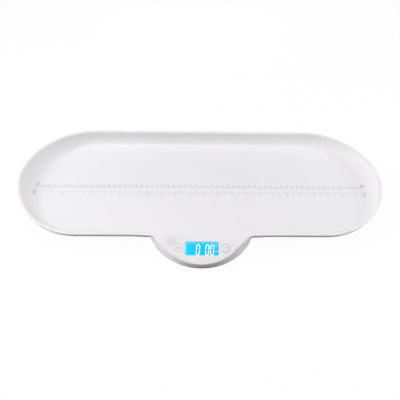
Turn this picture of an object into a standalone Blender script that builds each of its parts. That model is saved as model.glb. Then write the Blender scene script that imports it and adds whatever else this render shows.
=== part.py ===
"""Digital baby weighing scale.

A long white tray whose front nose carries the display and three buttons. It is
screwed to a lower housing that stands on four load cell feet and holds the
board, the leads and three AAA cells behind a hinged door.
"""

import math

import bmesh
import bpy
from mathutils import Vector

# Fits shared by all pieces
GAP = 0.0003
OVERRUN = 0.004
MERGE = 0.00005
SHARP_ANGLE = math.radians(35)
ROUND_SHARE = 1 - math.sin(math.pi / 4)

# Tray: driving sizes
TRAY_LENGTH = 0.655
TRAY_DEPTH = 0.237
FLOOR_HEIGHT = 0.038
TRAY_WALL = 0.0022
BACK_RISE = 0.024
END_RISE = 0.023
FRONT_RISE = 0.002
BACK_WALL_WIDTH = 0.015
END_WALL_WIDTH = 0.034
FRONT_WALL_WIDTH = 0.006
NOSE_WALL_WIDTH = 0.003
LIP_WIDTH = 0.006
LIP_CROWN = 0.0007
EDGE_RADIUS = 0.0012
SKIRT_DROP = 0.0065
SKIRT_DRAFT = 0.0004
RISE_START_SHARE = 0.55
WALL_SWEEP = math.radians(70)
LIP_RAMP = 0.03
END_STEPS = 24
WALL_STEPS = 4

# Nose of the tray
NOSE_LENGTH = 0.0444
NOSE_RADIUS = 0.0795
NOSE_SIDE_ANGLE = math.radians(41.3)
NOSE_FILLET = 0.016
NOSE_STEPS = 7
FILLET_STEPS = 4
PANEL_TILT = math.radians(19.3)
BEND_RADIUS = 0.030
BEND_STEPS = 4

# Base housing
BASE_WALL = 0.0022
BASE_CLEARANCE = 0.004
BASE_WIDTH = 0.340
BASE_INSET = 0.0285
BASE_CORNER = 0.030
BASE_EDGE = 0.0018
LOBE_SPREAD = 0.0167
LOBE_TIP_INSET = 0.0016
LOBE_FILLET = 0.012
LOBE_STEPS = 20
CORNER_STEPS = 5
SEAT_STEP = 0.008
SEAT_STEP_RUN = 0.0006

# Window, display and the board behind the nose panel
WINDOW_WIDTH = 0.0544
WINDOW_HEIGHT = 0.0222
WINDOW_CORNER = 0.0022
WINDOW_DOWN = 0.0213
LENS_THICKNESS = 0.0016
LENS_SINK = 0.0003
DISPLAY_BORDER = 0.0010
LCD_THICKNESS = 0.0020
BACKLIGHT_THICKNESS = 0.0028
FRAME_WALL = 0.0012
ZEBRA_DEPTH = 0.0022
ZEBRA_WIDTH = 0.048
BOARD_DOWN = 0.0089
BOARD_THICKNESS = 0.0016
BOARD_SIDE_INSET = 0.0042
BOARD_BACK = 0.005
BOARD_SHOULDER = 0.015
BOARD_TIP_INSET = 0.0035
BOARD_FRONT = 0.036
CHIP_SIDE = 0.012
CHIP_THICKNESS = 0.002
CHIP_DOWN = 0.012
BUZZER_RADIUS = 0.006
BUZZER_HEIGHT = 0.005
BUZZER_ACROSS = 0.024
BUZZER_DOWN = 0.010
BOARD_POST_RADIUS = 0.0024
BOARD_POST_HOLE = 0.0012
BACK_POST_ACROSS = 0.034
BACK_POST_DOWN = -0.0015
FRONT_POST_INSET = 0.0076
FRONT_POST_DOWN = 0.0335
BOARD_SCREW_RADIUS = 0.0009
BOARD_SCREW_LENGTH = 0.005
BOARD_SCREW_HEAD = 0.0020
BOARD_SCREW_HEAD_HEIGHT = 0.0013

# Buttons: down is measured in the nose panel from the bend, an inset from the nose's straight side
BUTTON_RADIUS = 0.0067
BUTTON_PROUD = 0.0002
BUTTON_FLANGE = 0.0078
BUTTON_FLANGE_THICKNESS = 0.0008
BUTTON_STEM_RADIUS = 0.0020
BUTTON_STEM = 0.0007
BUTTON_TRAVEL = 0.0006
LOWER_BUTTON_INSET = 0.0134
LOWER_BUTTON_DOWN = 0.0206
UPPER_BUTTON_INSET = 0.0134
UPPER_BUTTON_DOWN = 0.0095
SWITCH_SIDE = 0.006
SWITCH_HEIGHT = 0.0034
PLUNGER_RADIUS = 0.0017
PLUNGER_HEIGHT = 0.0022

# Feet and load cells
FOOT_SIDE_INSET = 0.032
FOOT_END_INSET = 0.034
FOOT_RADIUS = 0.0175
FOOT_TRAVEL = 0.0003
CUP_BOTTOM = 0.0016
CUP_HEIGHT = 0.0064
CUP_WALL = 0.0020
PAD_SINK = 0.0014
STUD_RADIUS = 0.0045
CELL_SIDE = 0.024
CELL_THICKNESS = 0.0025
CELL_SLOT = 0.0016
CELL_FRAME = 0.0045
TURRET_WALL = 0.0025
LEAD_HOLE = 0.0018

# Housing screws: four beside the feet, and two in the nose given from the tray's front edge
SCREW_INBOARD = 0.040
SCREW_BEYOND = 0.008
NOSE_SCREW_ACROSS = 0.062
NOSE_SCREW_BACK = 0.0155
POST_RADIUS = 0.0046
POST_TOP = 0.020
SCREW_RADIUS = 0.0014
SCREW_LENGTH = 0.014
SCREW_HEAD_RADIUS = 0.0030
SCREW_HEAD_HEIGHT = 0.0020
SCREW_HEAD_LEVEL = 0.0125
CROSS_WIDTH = 0.0009
CROSS_DEPTH = 0.0008
BOSS_RADIUS = 0.0040
PILOT_DEPTH = 0.010

# Battery bay, for three AAA cells side by side
CELL_LENGTH = 0.0445
CELL_RADIUS = 0.00525
CELL_NUB_RADIUS = 0.0019
CELL_NUB = 0.0009
CELL_COUNT = 3
CELL_PITCH = 0.0112
SPRING_LENGTH = 0.0052
SPRING_RADIUS = 0.0038
SPRING_TIP_RADIUS = 0.0024
SPRING_WIRE = 0.0004
SPRING_TURNS = 3
SPRING_STEPS = 8
TAB_THICKNESS = 0.0005
TAB_SIDE = 0.008
BAY_ALONG = 0.022
BAY_WALL = 0.0018
DOOR_MARGIN = 0.004
DOOR_THICKNESS = 0.0024
DOOR_LEDGE = 0.0022
DOOR_LEDGE_MARGIN = 0.003
HINGE_RADIUS = 0.0006
HINGE_STUB = 0.0016
HINGE_CLEARANCE = 0.00025
HINGE_STEPS = 6
TONGUE_WIDTH = 0.012
TONGUE_LENGTH = 0.009
TONGUE_SLOT = 0.0008

# Leads
LEAD_RADIUS = 0.0011
LEAD_STEP = 0.0066
LEAD_BERTH = 0.012
LEAD_LIFT = 0.003
FRONT_PAD_ACROSS = 0.047
REAR_PAD_ACROSS = 0.040
CELL_PAD_DOWN = 0.003
BATTERY_LEAD_ACROSS = 0.010
BATTERY_PAD_ACROSS = 0.014

# Places worked out from the driving sizes
HALF_LENGTH = TRAY_LENGTH / 2
HALF_DEPTH = TRAY_DEPTH / 2
CENTRE_Y = NOSE_LENGTH / 2
NOSE_REACH = HALF_DEPTH + NOSE_LENGTH
BASE_DEPTH = TRAY_DEPTH - 2 * BASE_INSET
LOBE_RADIUS = NOSE_RADIUS + LOBE_SPREAD
LOBE_CENTRE = NOSE_REACH - LOBE_TIP_INSET - LOBE_RADIUS
NOSE_SCREW_ALONG = HALF_DEPTH - NOSE_SCREW_BACK
SIDE_OUT = Vector((math.sin(NOSE_SIDE_ANGLE), -math.cos(NOSE_SIDE_ANGLE)))
SIDE_START = Vector((0, NOSE_RADIUS - NOSE_REACH)) + SIDE_OUT * NOSE_RADIUS
BEND_BACK = HALF_DEPTH - BEND_RADIUS * math.tan(PANEL_TILT / 2)
BEND_FRONT = BEND_BACK + BEND_RADIUS * math.sin(PANEL_TILT)
BASE_FLOOR = BASE_CLEARANCE + BASE_WALL
FOOT_ACROSS = BASE_WIDTH / 2 - FOOT_SIDE_INSET
FOOT_ALONG = BASE_DEPTH / 2 - FOOT_END_INSET
SCREW_ACROSS = FOOT_ACROSS - SCREW_INBOARD
SCREW_ALONG = FOOT_ALONG + SCREW_BEYOND
CUP_TOP = CUP_BOTTOM + CUP_HEIGHT
CELL_BOTTOM = CUP_TOP + FOOT_TRAVEL + GAP
CELL_TOP = CELL_BOTTOM + CELL_THICKNESS
WELL_ROOF = CELL_TOP + GAP
WELL_RADIUS = FOOT_RADIUS + GAP
DOOR_TOP = BASE_CLEARANCE + DOOR_THICKNESS
CELL_AXIS = DOOR_TOP + GAP + CELL_RADIUS
BAY_ROOF = CELL_AXIS + CELL_RADIUS + GAP
BAY_LENGTH = SPRING_LENGTH + CELL_LENGTH + TAB_THICKNESS + 4 * GAP
BAY_DEPTH = (CELL_COUNT - 1) * CELL_PITCH + 2 * (CELL_RADIUS + GAP)
DOOR_WIDTH = BAY_LENGTH + 2 * DOOR_MARGIN
DOOR_DEPTH = BAY_DEPTH + 2 * DOOR_MARGIN
PANEL_UNDER = -TRAY_WALL
LCD_TOP = PANEL_UNDER - GAP
BACKLIGHT_TOP = LCD_TOP - LCD_THICKNESS - GAP
LCD_WIDTH = WINDOW_WIDTH + 2 * DISPLAY_BORDER
LCD_HEIGHT = WINDOW_HEIGHT + 2 * DISPLAY_BORDER
BOARD_TOP = -BOARD_DOWN
BOARD_UNDER = BOARD_TOP - BOARD_THICKNESS
SWITCH_TOP = BOARD_TOP + GAP + SWITCH_HEIGHT
FLANGE_TOP = PANEL_UNDER - GAP
STEM_END = FLANGE_TOP - BUTTON_FLANGE_THICKNESS - BUTTON_STEM
PLUNGER_TOP = STEM_END - GAP


def beside_nose(down, inset):
    """How far across a place this far down the nose panel is, at an inset from the nose's straight side."""
    behind = SIDE_START.y + HALF_DEPTH + down * math.cos(PANEL_TILT)
    return SIDE_START.x + (behind * SIDE_OUT.y - inset) / SIDE_OUT.x


BOARD_HALF_WIDTH = beside_nose(BOARD_SHOULDER, BOARD_SIDE_INSET)
BOARD_TIP_HALF_WIDTH = beside_nose(BOARD_FRONT, BOARD_TIP_INSET)
FRONT_POST_ACROSS = beside_nose(FRONT_POST_DOWN, FRONT_POST_INSET)
UPPER_BUTTON_ACROSS = beside_nose(UPPER_BUTTON_DOWN, UPPER_BUTTON_INSET)
LOWER_BUTTON_ACROSS = beside_nose(LOWER_BUTTON_DOWN, LOWER_BUTTON_INSET)
BUTTON_PLACES = {
    "upper_left": (-UPPER_BUTTON_ACROSS, UPPER_BUTTON_DOWN),
    "lower_left": (-LOWER_BUTTON_ACROSS, LOWER_BUTTON_DOWN),
    "right": (LOWER_BUTTON_ACROSS, LOWER_BUTTON_DOWN),
}
FOOT_PLACES = {
    "front_left": (-FOOT_ACROSS, CENTRE_Y - FOOT_ALONG),
    "front_right": (FOOT_ACROSS, CENTRE_Y - FOOT_ALONG),
    "rear_left": (-FOOT_ACROSS, CENTRE_Y + FOOT_ALONG),
    "rear_right": (FOOT_ACROSS, CENTRE_Y + FOOT_ALONG),
}
SCREW_PLACES = [
    (side * across, CENTRE_Y + along)
    for across, along in (
        (SCREW_ACROSS, -SCREW_ALONG),
        (SCREW_ACROSS, SCREW_ALONG),
        (NOSE_SCREW_ACROSS, -NOSE_SCREW_ALONG),
    )
    for side in (-1, 1)
]
BOARD_POST_PLACES = [
    (side * across, down)
    for across, down in ((BACK_POST_ACROSS, BACK_POST_DOWN), (FRONT_POST_ACROSS, FRONT_POST_DOWN))
    for side in (-1, 1)
]

for old in list(bpy.data.objects):
    bpy.data.objects.remove(old)

parts = bpy.data.collections.new("baby_weighing_scale")
helpers = bpy.data.collections.new("cutters")
for group in (parts, helpers):
    bpy.context.scene.collection.children.link(group)


def material(name, colour, roughness, metallic=0.0):
    """A plain Principled material."""
    made = bpy.data.materials.new(name)
    made.use_nodes = True
    shader = made.node_tree.nodes["Principled BSDF"]
    shader.inputs["Base Color"].default_value = (*colour, 1)
    shader.inputs["Roughness"].default_value = roughness
    shader.inputs["Metallic"].default_value = metallic
    made.diffuse_color = (*colour, 1)
    return made


WHITE = (0.86, 0.86, 0.87)
FINISHES = {
    "gloss_white": (WHITE, 0.25, 0.0),
    "satin_white": ((0.80, 0.80, 0.81), 0.45, 0.0),
    "button_grey": ((0.83, 0.83, 0.84), 0.4, 0.0),
    "clear": ((0.85, 0.93, 0.97), 0.05, 0.0),
    "display_blue": ((0.0, 0.55, 0.95), 0.3, 0.0),
    "light_plate": ((0.75, 0.90, 0.98), 0.4, 0.0),
    "black_plastic": ((0.03, 0.03, 0.035), 0.5, 0.0),
    "grey_rubber": ((0.30, 0.31, 0.33), 0.8, 0.0),
    "board_green": ((0.02, 0.20, 0.08), 0.5, 0.0),
    "steel": ((0.62, 0.63, 0.65), 0.3, 1.0),
    "cell_jacket": ((0.10, 0.22, 0.42), 0.35, 0.0),
    "lead_jacket": ((0.55, 0.05, 0.04), 0.5, 0.0),
}


def finished(obj, finish):
    """Gives the object its own material and shades its round faces smooth."""
    obj.data.materials.clear()
    obj.data.materials.append(material(obj.name + "_finish", *FINISHES[finish]))
    if obj.type == "MESH":
        obj.data.shade_smooth()
        obj.data.set_sharp_from_angle(angle=SHARP_ANGLE)
    return obj


def placed(name, mesh, group, at=(0, 0, 0), parent=None):
    """A new object for the mesh, at a place in its parent's frame."""
    obj = bpy.data.objects.new(name, mesh)
    group.objects.link(obj)
    obj.location = at
    obj.parent = parent
    if group is helpers:
        obj.hide_render = True
        obj.display_type = "WIRE"
    return obj


def mesh_from(bm, name):
    mesh = bpy.data.meshes.new(name)
    bm.to_mesh(mesh)
    bm.free()
    return mesh


def box(name, low, high, group=helpers, parent=None):
    """A box between two corners of its parent's frame, with its origin at its middle."""
    low, high = Vector(low), Vector(high)
    bm = bmesh.new()
    bmesh.ops.create_cube(bm, size=1)
    bmesh.ops.scale(bm, vec=high - low, verts=bm.verts)
    return placed(name, mesh_from(bm, name), group, (low + high) / 2, parent)


def disc(name, radius, low, high, at=(0, 0), group=helpers, parent=None, sides=24):
    """An upright cylinder between two levels, with its origin at its middle."""
    bm = bmesh.new()
    bmesh.ops.create_cone(bm, cap_ends=True, segments=sides, radius1=radius, radius2=radius, depth=high - low)
    return placed(name, mesh_from(bm, name), group, (*at, (low + high) / 2), parent)


def turned(name, profile, at=(0, 0, 0), group=helpers, parent=None, sides=24):
    """A closed profile of (radius, level) pairs turned about the upright axis.

    The profile runs from the axis at the top, down its outer side, to the axis at the bottom.
    """
    mesh = bpy.data.meshes.new(name)
    points = [(radius, 0, level) for radius, level in profile]
    mesh.from_pydata(points, [(i, i + 1) for i in range(len(points) - 1)], [])
    obj = placed(name, mesh, group, at, parent)
    screw = obj.modifiers.new("turn", "SCREW")
    screw.steps = screw.render_steps = sides
    screw.use_merge_vertices = True
    screw.merge_threshold = MERGE
    return obj


def slab(name, outline, low, high, group=helpers, parent=None):
    """A flat outline of (x, y) points with a thickness, as a mesh that can be cut."""
    curve = bpy.data.curves.new(name, "CURVE")
    curve.dimensions = "2D"
    curve.fill_mode = "BOTH"
    curve.extrude = (high - low) / 2
    spline = curve.splines.new("POLY")
    spline.points.add(len(outline) - 1)
    for point, (x, y) in zip(spline.points, outline):
        point.co = (x, y, 0, 1)
    spline.use_cyclic_u = True
    flat = placed(name + "_outline", curve, helpers, (0, 0, (low + high) / 2))
    graph = bpy.context.evaluated_depsgraph_get()
    mesh = bpy.data.meshes.new_from_object(flat.evaluated_get(graph))
    mesh.name = name
    bm = bmesh.new()
    bm.from_mesh(mesh)
    bmesh.ops.remove_doubles(bm, verts=bm.verts, dist=MERGE / 10)
    bm.to_mesh(mesh)
    bm.free()
    bpy.data.objects.remove(flat)
    return placed(name, mesh, group, (0, 0, (low + high) / 2), parent)


def rounded_rectangle(width, height, radius, middle=(0, 0), steps=3):
    """The outline of a rectangle with round corners."""
    points = []
    for quarter, (sx, sy) in enumerate(((1, 1), (-1, 1), (-1, -1), (1, -1))):
        centre = Vector(middle) + Vector((sx * (width / 2 - radius), sy * (height / 2 - radius)))
        for step in range(steps + 1):
            angle = math.pi / 2 * (quarter + step / steps)
            points.append(tuple(centre + radius * Vector((math.cos(angle), math.sin(angle)))))
    return points


def boolean(obj, other, operation):
    made = obj.modifiers.new(operation.lower() + " " + other.name, "BOOLEAN")
    made.operation = operation
    made.object = other
    return made


def cut(obj, *others):
    for other in others:
        boolean(obj, other, "DIFFERENCE")


def join(obj, *others):
    for other in others:
        boolean(obj, other, "UNION")


def smooth(share):
    share = min(max(share, 0), 1)
    return share * share * (3 - 2 * share)


def nose_drop(y):
    """How far the nose panel lies below the floor at this y (negative in front of the tray's centre)."""
    ahead = -y - BEND_BACK
    if ahead <= 0:
        return 0.0
    if -y >= BEND_FRONT:
        return (-y - HALF_DEPTH) * math.tan(PANEL_TILT)
    return BEND_RADIUS - math.sqrt(BEND_RADIUS**2 - ahead**2)


def arc(centre, radius, start, end, steps, keep_first=True):
    """Points on an arc, each with the direction away from its centre."""
    found = []
    for step in range(0 if keep_first else 1, steps + 1):
        angle = start + (end - start) * step / steps
        away = Vector((math.cos(angle), math.sin(angle)))
        found.append((Vector(centre) + radius * away, away))
    return found


def tray_edge():
    """The right half of the tray's edge, from the nose's tip to the middle of the back.

    Each entry is a point, its outward direction, how much of the front lip it has, and its share
    of the way round the end arc.
    """
    found = []
    ahead = -math.pi / 2
    tip = arc((0, NOSE_RADIUS - NOSE_REACH), NOSE_RADIUS, ahead, ahead + NOSE_SIDE_ANGLE, NOSE_STEPS)
    found += [(point, away, 0, 0) for point, away in tip]
    last, away = tip[-1]
    along = Vector((math.cos(NOSE_SIDE_ANGLE), math.sin(NOSE_SIDE_ANGLE)))
    corner = last + along * (-HALF_DEPTH - last.y) / along.y
    tangent = NOSE_FILLET * math.tan(NOSE_SIDE_ANGLE / 2)
    bend_centre = corner + Vector((tangent, -NOSE_FILLET))
    turn = arc(bend_centre, NOSE_FILLET, NOSE_SIDE_ANGLE + math.pi / 2, math.pi / 2, FILLET_STEPS)
    found += [(point, -out, 0, 0) for point, out in turn]
    front = Vector((0, -1))
    found.append((Vector((turn[-1][0].x + LIP_RAMP, -HALF_DEPTH)), front, 1, 0))
    end_centre = (HALF_LENGTH - HALF_DEPTH, 0)
    for step, (point, out) in enumerate(arc(end_centre, HALF_DEPTH, -math.pi / 2, math.pi / 2, END_STEPS)):
        found.append((point, out, 1, step / END_STEPS))
    found.append((Vector((0, HALF_DEPTH)), Vector((0, 1)), 1, 1))
    return found


def tray_section(lip, share):
    """The tray's section from the wall's foot to the skirt: (inset from the edge, height above the floor)."""
    rise = FRONT_RISE * lip + (END_RISE - FRONT_RISE) * smooth(share / RISE_START_SHARE)
    rise += (BACK_RISE - END_RISE) * smooth(2 * share - 1)
    width = NOSE_WALL_WIDTH + (FRONT_WALL_WIDTH - NOSE_WALL_WIDTH) * lip
    width += (END_WALL_WIDTH - FRONT_WALL_WIDTH) * smooth(2 * share)
    width += (BACK_WALL_WIDTH - END_WALL_WIDTH) * smooth(2 * share - 1)
    crown = LIP_CROWN * lip
    section = []
    for step in range(WALL_STEPS + 1):
        sweep = WALL_SWEEP * step / WALL_STEPS
        across = math.sin(sweep) / math.sin(WALL_SWEEP)
        up = (1 - math.cos(sweep)) / (1 - math.cos(WALL_SWEEP))
        section.append((LIP_WIDTH + width * (1 - across), (rise - crown) * up))
    section.append((LIP_WIDTH / 2, rise))
    section.append((EDGE_RADIUS, rise - crown / 2))
    section.append((EDGE_RADIUS * ROUND_SHARE, rise - crown - EDGE_RADIUS * ROUND_SHARE))
    section.append((0, rise - crown - EDGE_RADIUS))
    section.append((SKIRT_DRAFT, rise - SKIRT_DROP))
    return section


def lofted_half(rings):
    """A half shell from closed-up rings of points, the first ring filled, open at the plane of symmetry.

    Each ring runs from the front of the plane of symmetry to the back of it.
    """
    bm = bmesh.new()
    rows = [[bm.verts.new(point) for point in ring] for ring in rings]
    bm.faces.new(rows[0])
    for inner, outer in zip(rows, rows[1:]):
        for i in range(len(inner) - 1):
            bm.faces.new((inner[i], outer[i], outer[i + 1], inner[i + 1]))
    return bm


def shell(name, bm, wall, finish):
    """The half surface mirrored and given its wall, which grows away from the faces."""
    obj = placed(name, mesh_from(bm, name), parts, (0, CENTRE_Y, 0))
    mirror = obj.modifiers.new("other half", "MIRROR")
    mirror.use_axis = (True, False, False)
    mirror.merge_threshold = MERGE
    thick = obj.modifiers.new("wall", "SOLIDIFY")
    thick.thickness = wall
    thick.offset = -1
    thick.use_even_offset = True
    return finished(obj, finish)


def make_tray():
    stations = tray_edge()
    sections = [tray_section(lip, share) for _, _, lip, share in stations]
    rings = []
    for level in range(len(sections[0])):
        ring = []
        for (point, out, _, _), section in zip(stations, sections):
            inset, up = section[level]
            spot = point - out * inset
            ring.append((max(spot.x, 0), spot.y, FLOOR_HEIGHT + up))
        rings.append(ring)
    bm = lofted_half(rings)
    for step in range(BEND_STEPS + 1):
        ahead = BEND_RADIUS * math.sin(PANEL_TILT * step / BEND_STEPS)
        geometry = list(bm.verts) + list(bm.edges) + list(bm.faces)
        bmesh.ops.bisect_plane(
            bm, geom=geometry, dist=MERGE / 10, plane_co=(0, -BEND_BACK - ahead, 0), plane_no=(0, 1, 0)
        )
    for vert in bm.verts:
        vert.co.z -= nose_drop(vert.co.y)
    return shell("tray", bm, TRAY_WALL, "gloss_white")


def nose_edge_reach(angle):
    """Distance from the lobe's centre to the nose's edge in this direction."""
    way = Vector((math.cos(angle), math.sin(angle)))
    start = Vector((0, -LOBE_CENTRE))
    to_tip = start - Vector((0, NOSE_RADIUS - NOSE_REACH))
    half = to_tip.dot(way)
    reach = -half + math.sqrt(half**2 - to_tip.length_squared + NOSE_RADIUS**2)
    hit = start + way * reach
    if math.atan2(hit.x, NOSE_RADIUS - NOSE_REACH - hit.y) <= NOSE_SIDE_ANGLE:
        return reach
    return (SIDE_START - start).dot(SIDE_OUT) / way.dot(SIDE_OUT)


def base_edge():
    """The right half of the base: (bottom point, top point, outward direction, height of the top)."""
    found = []
    fillet_y = -BASE_DEPTH / 2 - LOBE_FILLET
    reach = LOBE_RADIUS + LOBE_FILLET
    fillet_x = math.sqrt(reach**2 - (fillet_y + LOBE_CENTRE) ** 2)
    lobe_end = math.atan2(fillet_y + LOBE_CENTRE, fillet_x)
    seat = FLOOR_HEIGHT - TRAY_WALL - GAP
    step_y = -HALF_DEPTH + SEAT_STEP
    step_angles = [math.asin((step_y + shift + LOBE_CENTRE) / LOBE_RADIUS) for shift in (0, SEAT_STEP_RUN)]
    angles = [-math.pi / 2 + (step_angles[0] + math.pi / 2) * i / LOBE_STEPS for i in range(LOBE_STEPS + 1)]
    for angle in angles + [step_angles[1], lobe_end]:
        out = Vector((math.cos(angle), math.sin(angle)))
        low = Vector((0, -LOBE_CENTRE)) + out * LOBE_RADIUS
        edge = nose_edge_reach(angle) - SKIRT_DRAFT
        follows_nose = low.y < -HALF_DEPTH or edge < LOBE_RADIUS
        high = Vector((0, -LOBE_CENTRE)) + out * (edge if follows_nose else LOBE_RADIUS)
        under_skirt = angle <= step_angles[0]
        top = FLOOR_HEIGHT - nose_drop(high.y) - SKIRT_DROP - GAP if under_skirt else seat
        found.append((low, high, out, top))
    fillet = arc((fillet_x, fillet_y), LOBE_FILLET, lobe_end + math.pi, math.pi / 2, CORNER_STEPS, False)
    for point, out in fillet:
        found.append((point, point, -out, seat))
    corner_x, corner_y = BASE_WIDTH / 2 - BASE_CORNER, BASE_DEPTH / 2 - BASE_CORNER
    for centre, start in (((corner_x, -corner_y), -math.pi / 2), ((corner_x, corner_y), 0)):
        for point, out in arc(centre, BASE_CORNER, start, start + math.pi / 2, CORNER_STEPS):
            found.append((point, point, out, seat))
    back = Vector((0, BASE_DEPTH / 2))
    found.append((back, back, Vector((0, 1)), seat))
    return found


def make_base():
    stations = base_edge()
    rings = [[], [], [], []]
    for low, high, out, top in stations:
        for ring, inset_share, level_share in ((0, 1, 0), (1, ROUND_SHARE, ROUND_SHARE), (2, 0, 1)):
            spot = low - out * BASE_EDGE * inset_share
            rings[ring].append((max(spot.x, 0), spot.y, BASE_CLEARANCE + BASE_EDGE * level_share))
        rings[3].append((max(high.x, 0), high.y, top))
    bm = lofted_half(rings)
    bmesh.ops.reverse_faces(bm, faces=bm.faces)
    return shell("base_shell", bm, BASE_WALL, "satin_white")


tray = make_tray()
base_shell = make_base()

panel = bpy.data.objects.new("panel_frame", None)
parts.objects.link(panel)
panel.location = (0, CENTRE_Y - HALF_DEPTH, FLOOR_HEIGHT)
panel.rotation_euler = (PANEL_TILT, 0, 0)


def baked(obj):
    """The object's mesh with its modifiers applied; the object itself is removed."""
    graph = bpy.context.evaluated_depsgraph_get()
    mesh = bpy.data.meshes.new_from_object(obj.evaluated_get(graph))
    bpy.data.objects.remove(obj)
    return mesh


def copies(mesh, places, finish, parent=None):
    """One finished part for each name, all of the same shape."""
    for name, at in places.items():
        own = mesh.copy()
        own.name = name
        finished(placed(name, own, parts, at, parent), finish)
    bpy.data.meshes.remove(mesh)


def in_panel(across, down, out):
    """The world place of a point given in the nose panel: across, down the slope and outwards."""
    return panel.location + panel.rotation_euler.to_matrix() @ Vector((across, -down, out))


def make_window():
    """The window, the display behind it and what holds them."""
    middle = (0, -WINDOW_DOWN)
    opening = rounded_rectangle(WINDOW_WIDTH, WINDOW_HEIGHT, WINDOW_CORNER, middle)
    cut(tray, slab("window_cut", opening, PANEL_UNDER - OVERRUN, OVERRUN, parent=panel))
    clear = rounded_rectangle(WINDOW_WIDTH - 2 * GAP, WINDOW_HEIGHT - 2 * GAP, WINDOW_CORNER - GAP, middle)
    lens_top = -LENS_SINK
    finished(slab("display_lens", clear, lens_top - LENS_THICKNESS, lens_top, parts, panel), "clear")

    half_width, half_height = LCD_WIDTH / 2, LCD_HEIGHT / 2
    back, front = half_height - WINDOW_DOWN, -half_height - WINDOW_DOWN
    lcd_under = LCD_TOP - LCD_THICKNESS
    glass = box("lcd_glass", (-half_width, front, lcd_under), (half_width, back, LCD_TOP), parts, panel)
    finished(glass, "display_blue")
    plate_front = front + ZEBRA_DEPTH + GAP
    plate_under = BACKLIGHT_TOP - BACKLIGHT_THICKNESS
    plate_low, plate_high = (-half_width, plate_front, plate_under), (half_width, back, BACKLIGHT_TOP)
    finished(box("backlight", plate_low, plate_high, parts, panel), "light_plate")
    strip_low = (-ZEBRA_WIDTH / 2, front, BOARD_TOP + GAP)
    strip_high = (ZEBRA_WIDTH / 2, front + ZEBRA_DEPTH, BACKLIGHT_TOP)
    finished(box("zebra_strip", strip_low, strip_high, parts, panel), "grey_rubber")

    inner = (half_width + GAP, half_height + GAP)
    outer = (inner[0] + FRAME_WALL, inner[1] + FRAME_WALL)
    frame = box(
        "display_frame",
        (-outer[0], -outer[1] - WINDOW_DOWN, BOARD_TOP + GAP),
        (outer[0], outer[1] - WINDOW_DOWN, LCD_TOP),
        parts,
        panel,
    )
    cut(
        frame,
        box(
            "display_frame_cut",
            (-inner[0], -inner[1] - WINDOW_DOWN, BOARD_TOP - OVERRUN),
            (inner[0], inner[1] - WINDOW_DOWN, OVERRUN),
            parent=panel,
        ),
    )
    finished(frame, "black_plastic")


def make_board():
    """The circuit board on its four posts, with what is soldered to its underside."""
    right = [
        (BOARD_HALF_WIDTH, BOARD_BACK),
        (BOARD_HALF_WIDTH, -BOARD_SHOULDER),
        (BOARD_TIP_HALF_WIDTH, -BOARD_FRONT),
    ]
    outline = right + [(-x, y) for x, y in reversed(right)]
    board = slab("main_board", outline, BOARD_UNDER, BOARD_TOP, parts, panel)
    post_foot = BOARD_TOP + GAP
    for number, (across, down) in enumerate(BOARD_POST_PLACES, 1):
        at, name = (across, -down), f"board_post_{number}"
        join(tray, disc(name, BOARD_POST_RADIUS, post_foot, PANEL_UNDER / 2, at, parent=panel, sides=12))
    hole_top = BOARD_UNDER - GAP + BOARD_SCREW_LENGTH + GAP
    for number, (across, down) in enumerate(BOARD_POST_PLACES, 1):
        at, name = (across, -down), f"board_hole_{number}"
        hole = disc(name, BOARD_POST_HOLE, BOARD_UNDER - OVERRUN, hole_top, at, parent=panel, sides=12)
        cut(board, hole)
        cut(tray, hole)
    finished(board, "board_green")

    head = BOARD_SCREW_HEAD_HEIGHT
    profile = [
        (0, BOARD_SCREW_LENGTH),
        (BOARD_SCREW_RADIUS, BOARD_SCREW_LENGTH),
        (BOARD_SCREW_RADIUS, 0),
        (BOARD_SCREW_HEAD, 0),
        (BOARD_SCREW_HEAD, -head),
        (0, -head),
    ]
    screw = baked(turned("board_screw", profile, sides=10))
    places = {
        f"board_screw_{number}": (across, -down, BOARD_UNDER - GAP)
        for number, (across, down) in enumerate(BOARD_POST_PLACES, 1)
    }
    copies(screw, places, "steel", panel)

    side = CHIP_SIDE / 2
    top = BOARD_UNDER - GAP
    chip_low, chip_high = (-side, -CHIP_DOWN - side, top - CHIP_THICKNESS), (side, side - CHIP_DOWN, top)
    chip = box("control_chip", chip_low, chip_high, parts, panel)
    finished(chip, "black_plastic")
    at = (-BUZZER_ACROSS, -BUZZER_DOWN)
    buzzer = disc("buzzer", BUZZER_RADIUS, top - BUZZER_HEIGHT, top, at, parts, panel, sides=16)
    finished(buzzer, "black_plastic")


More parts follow.
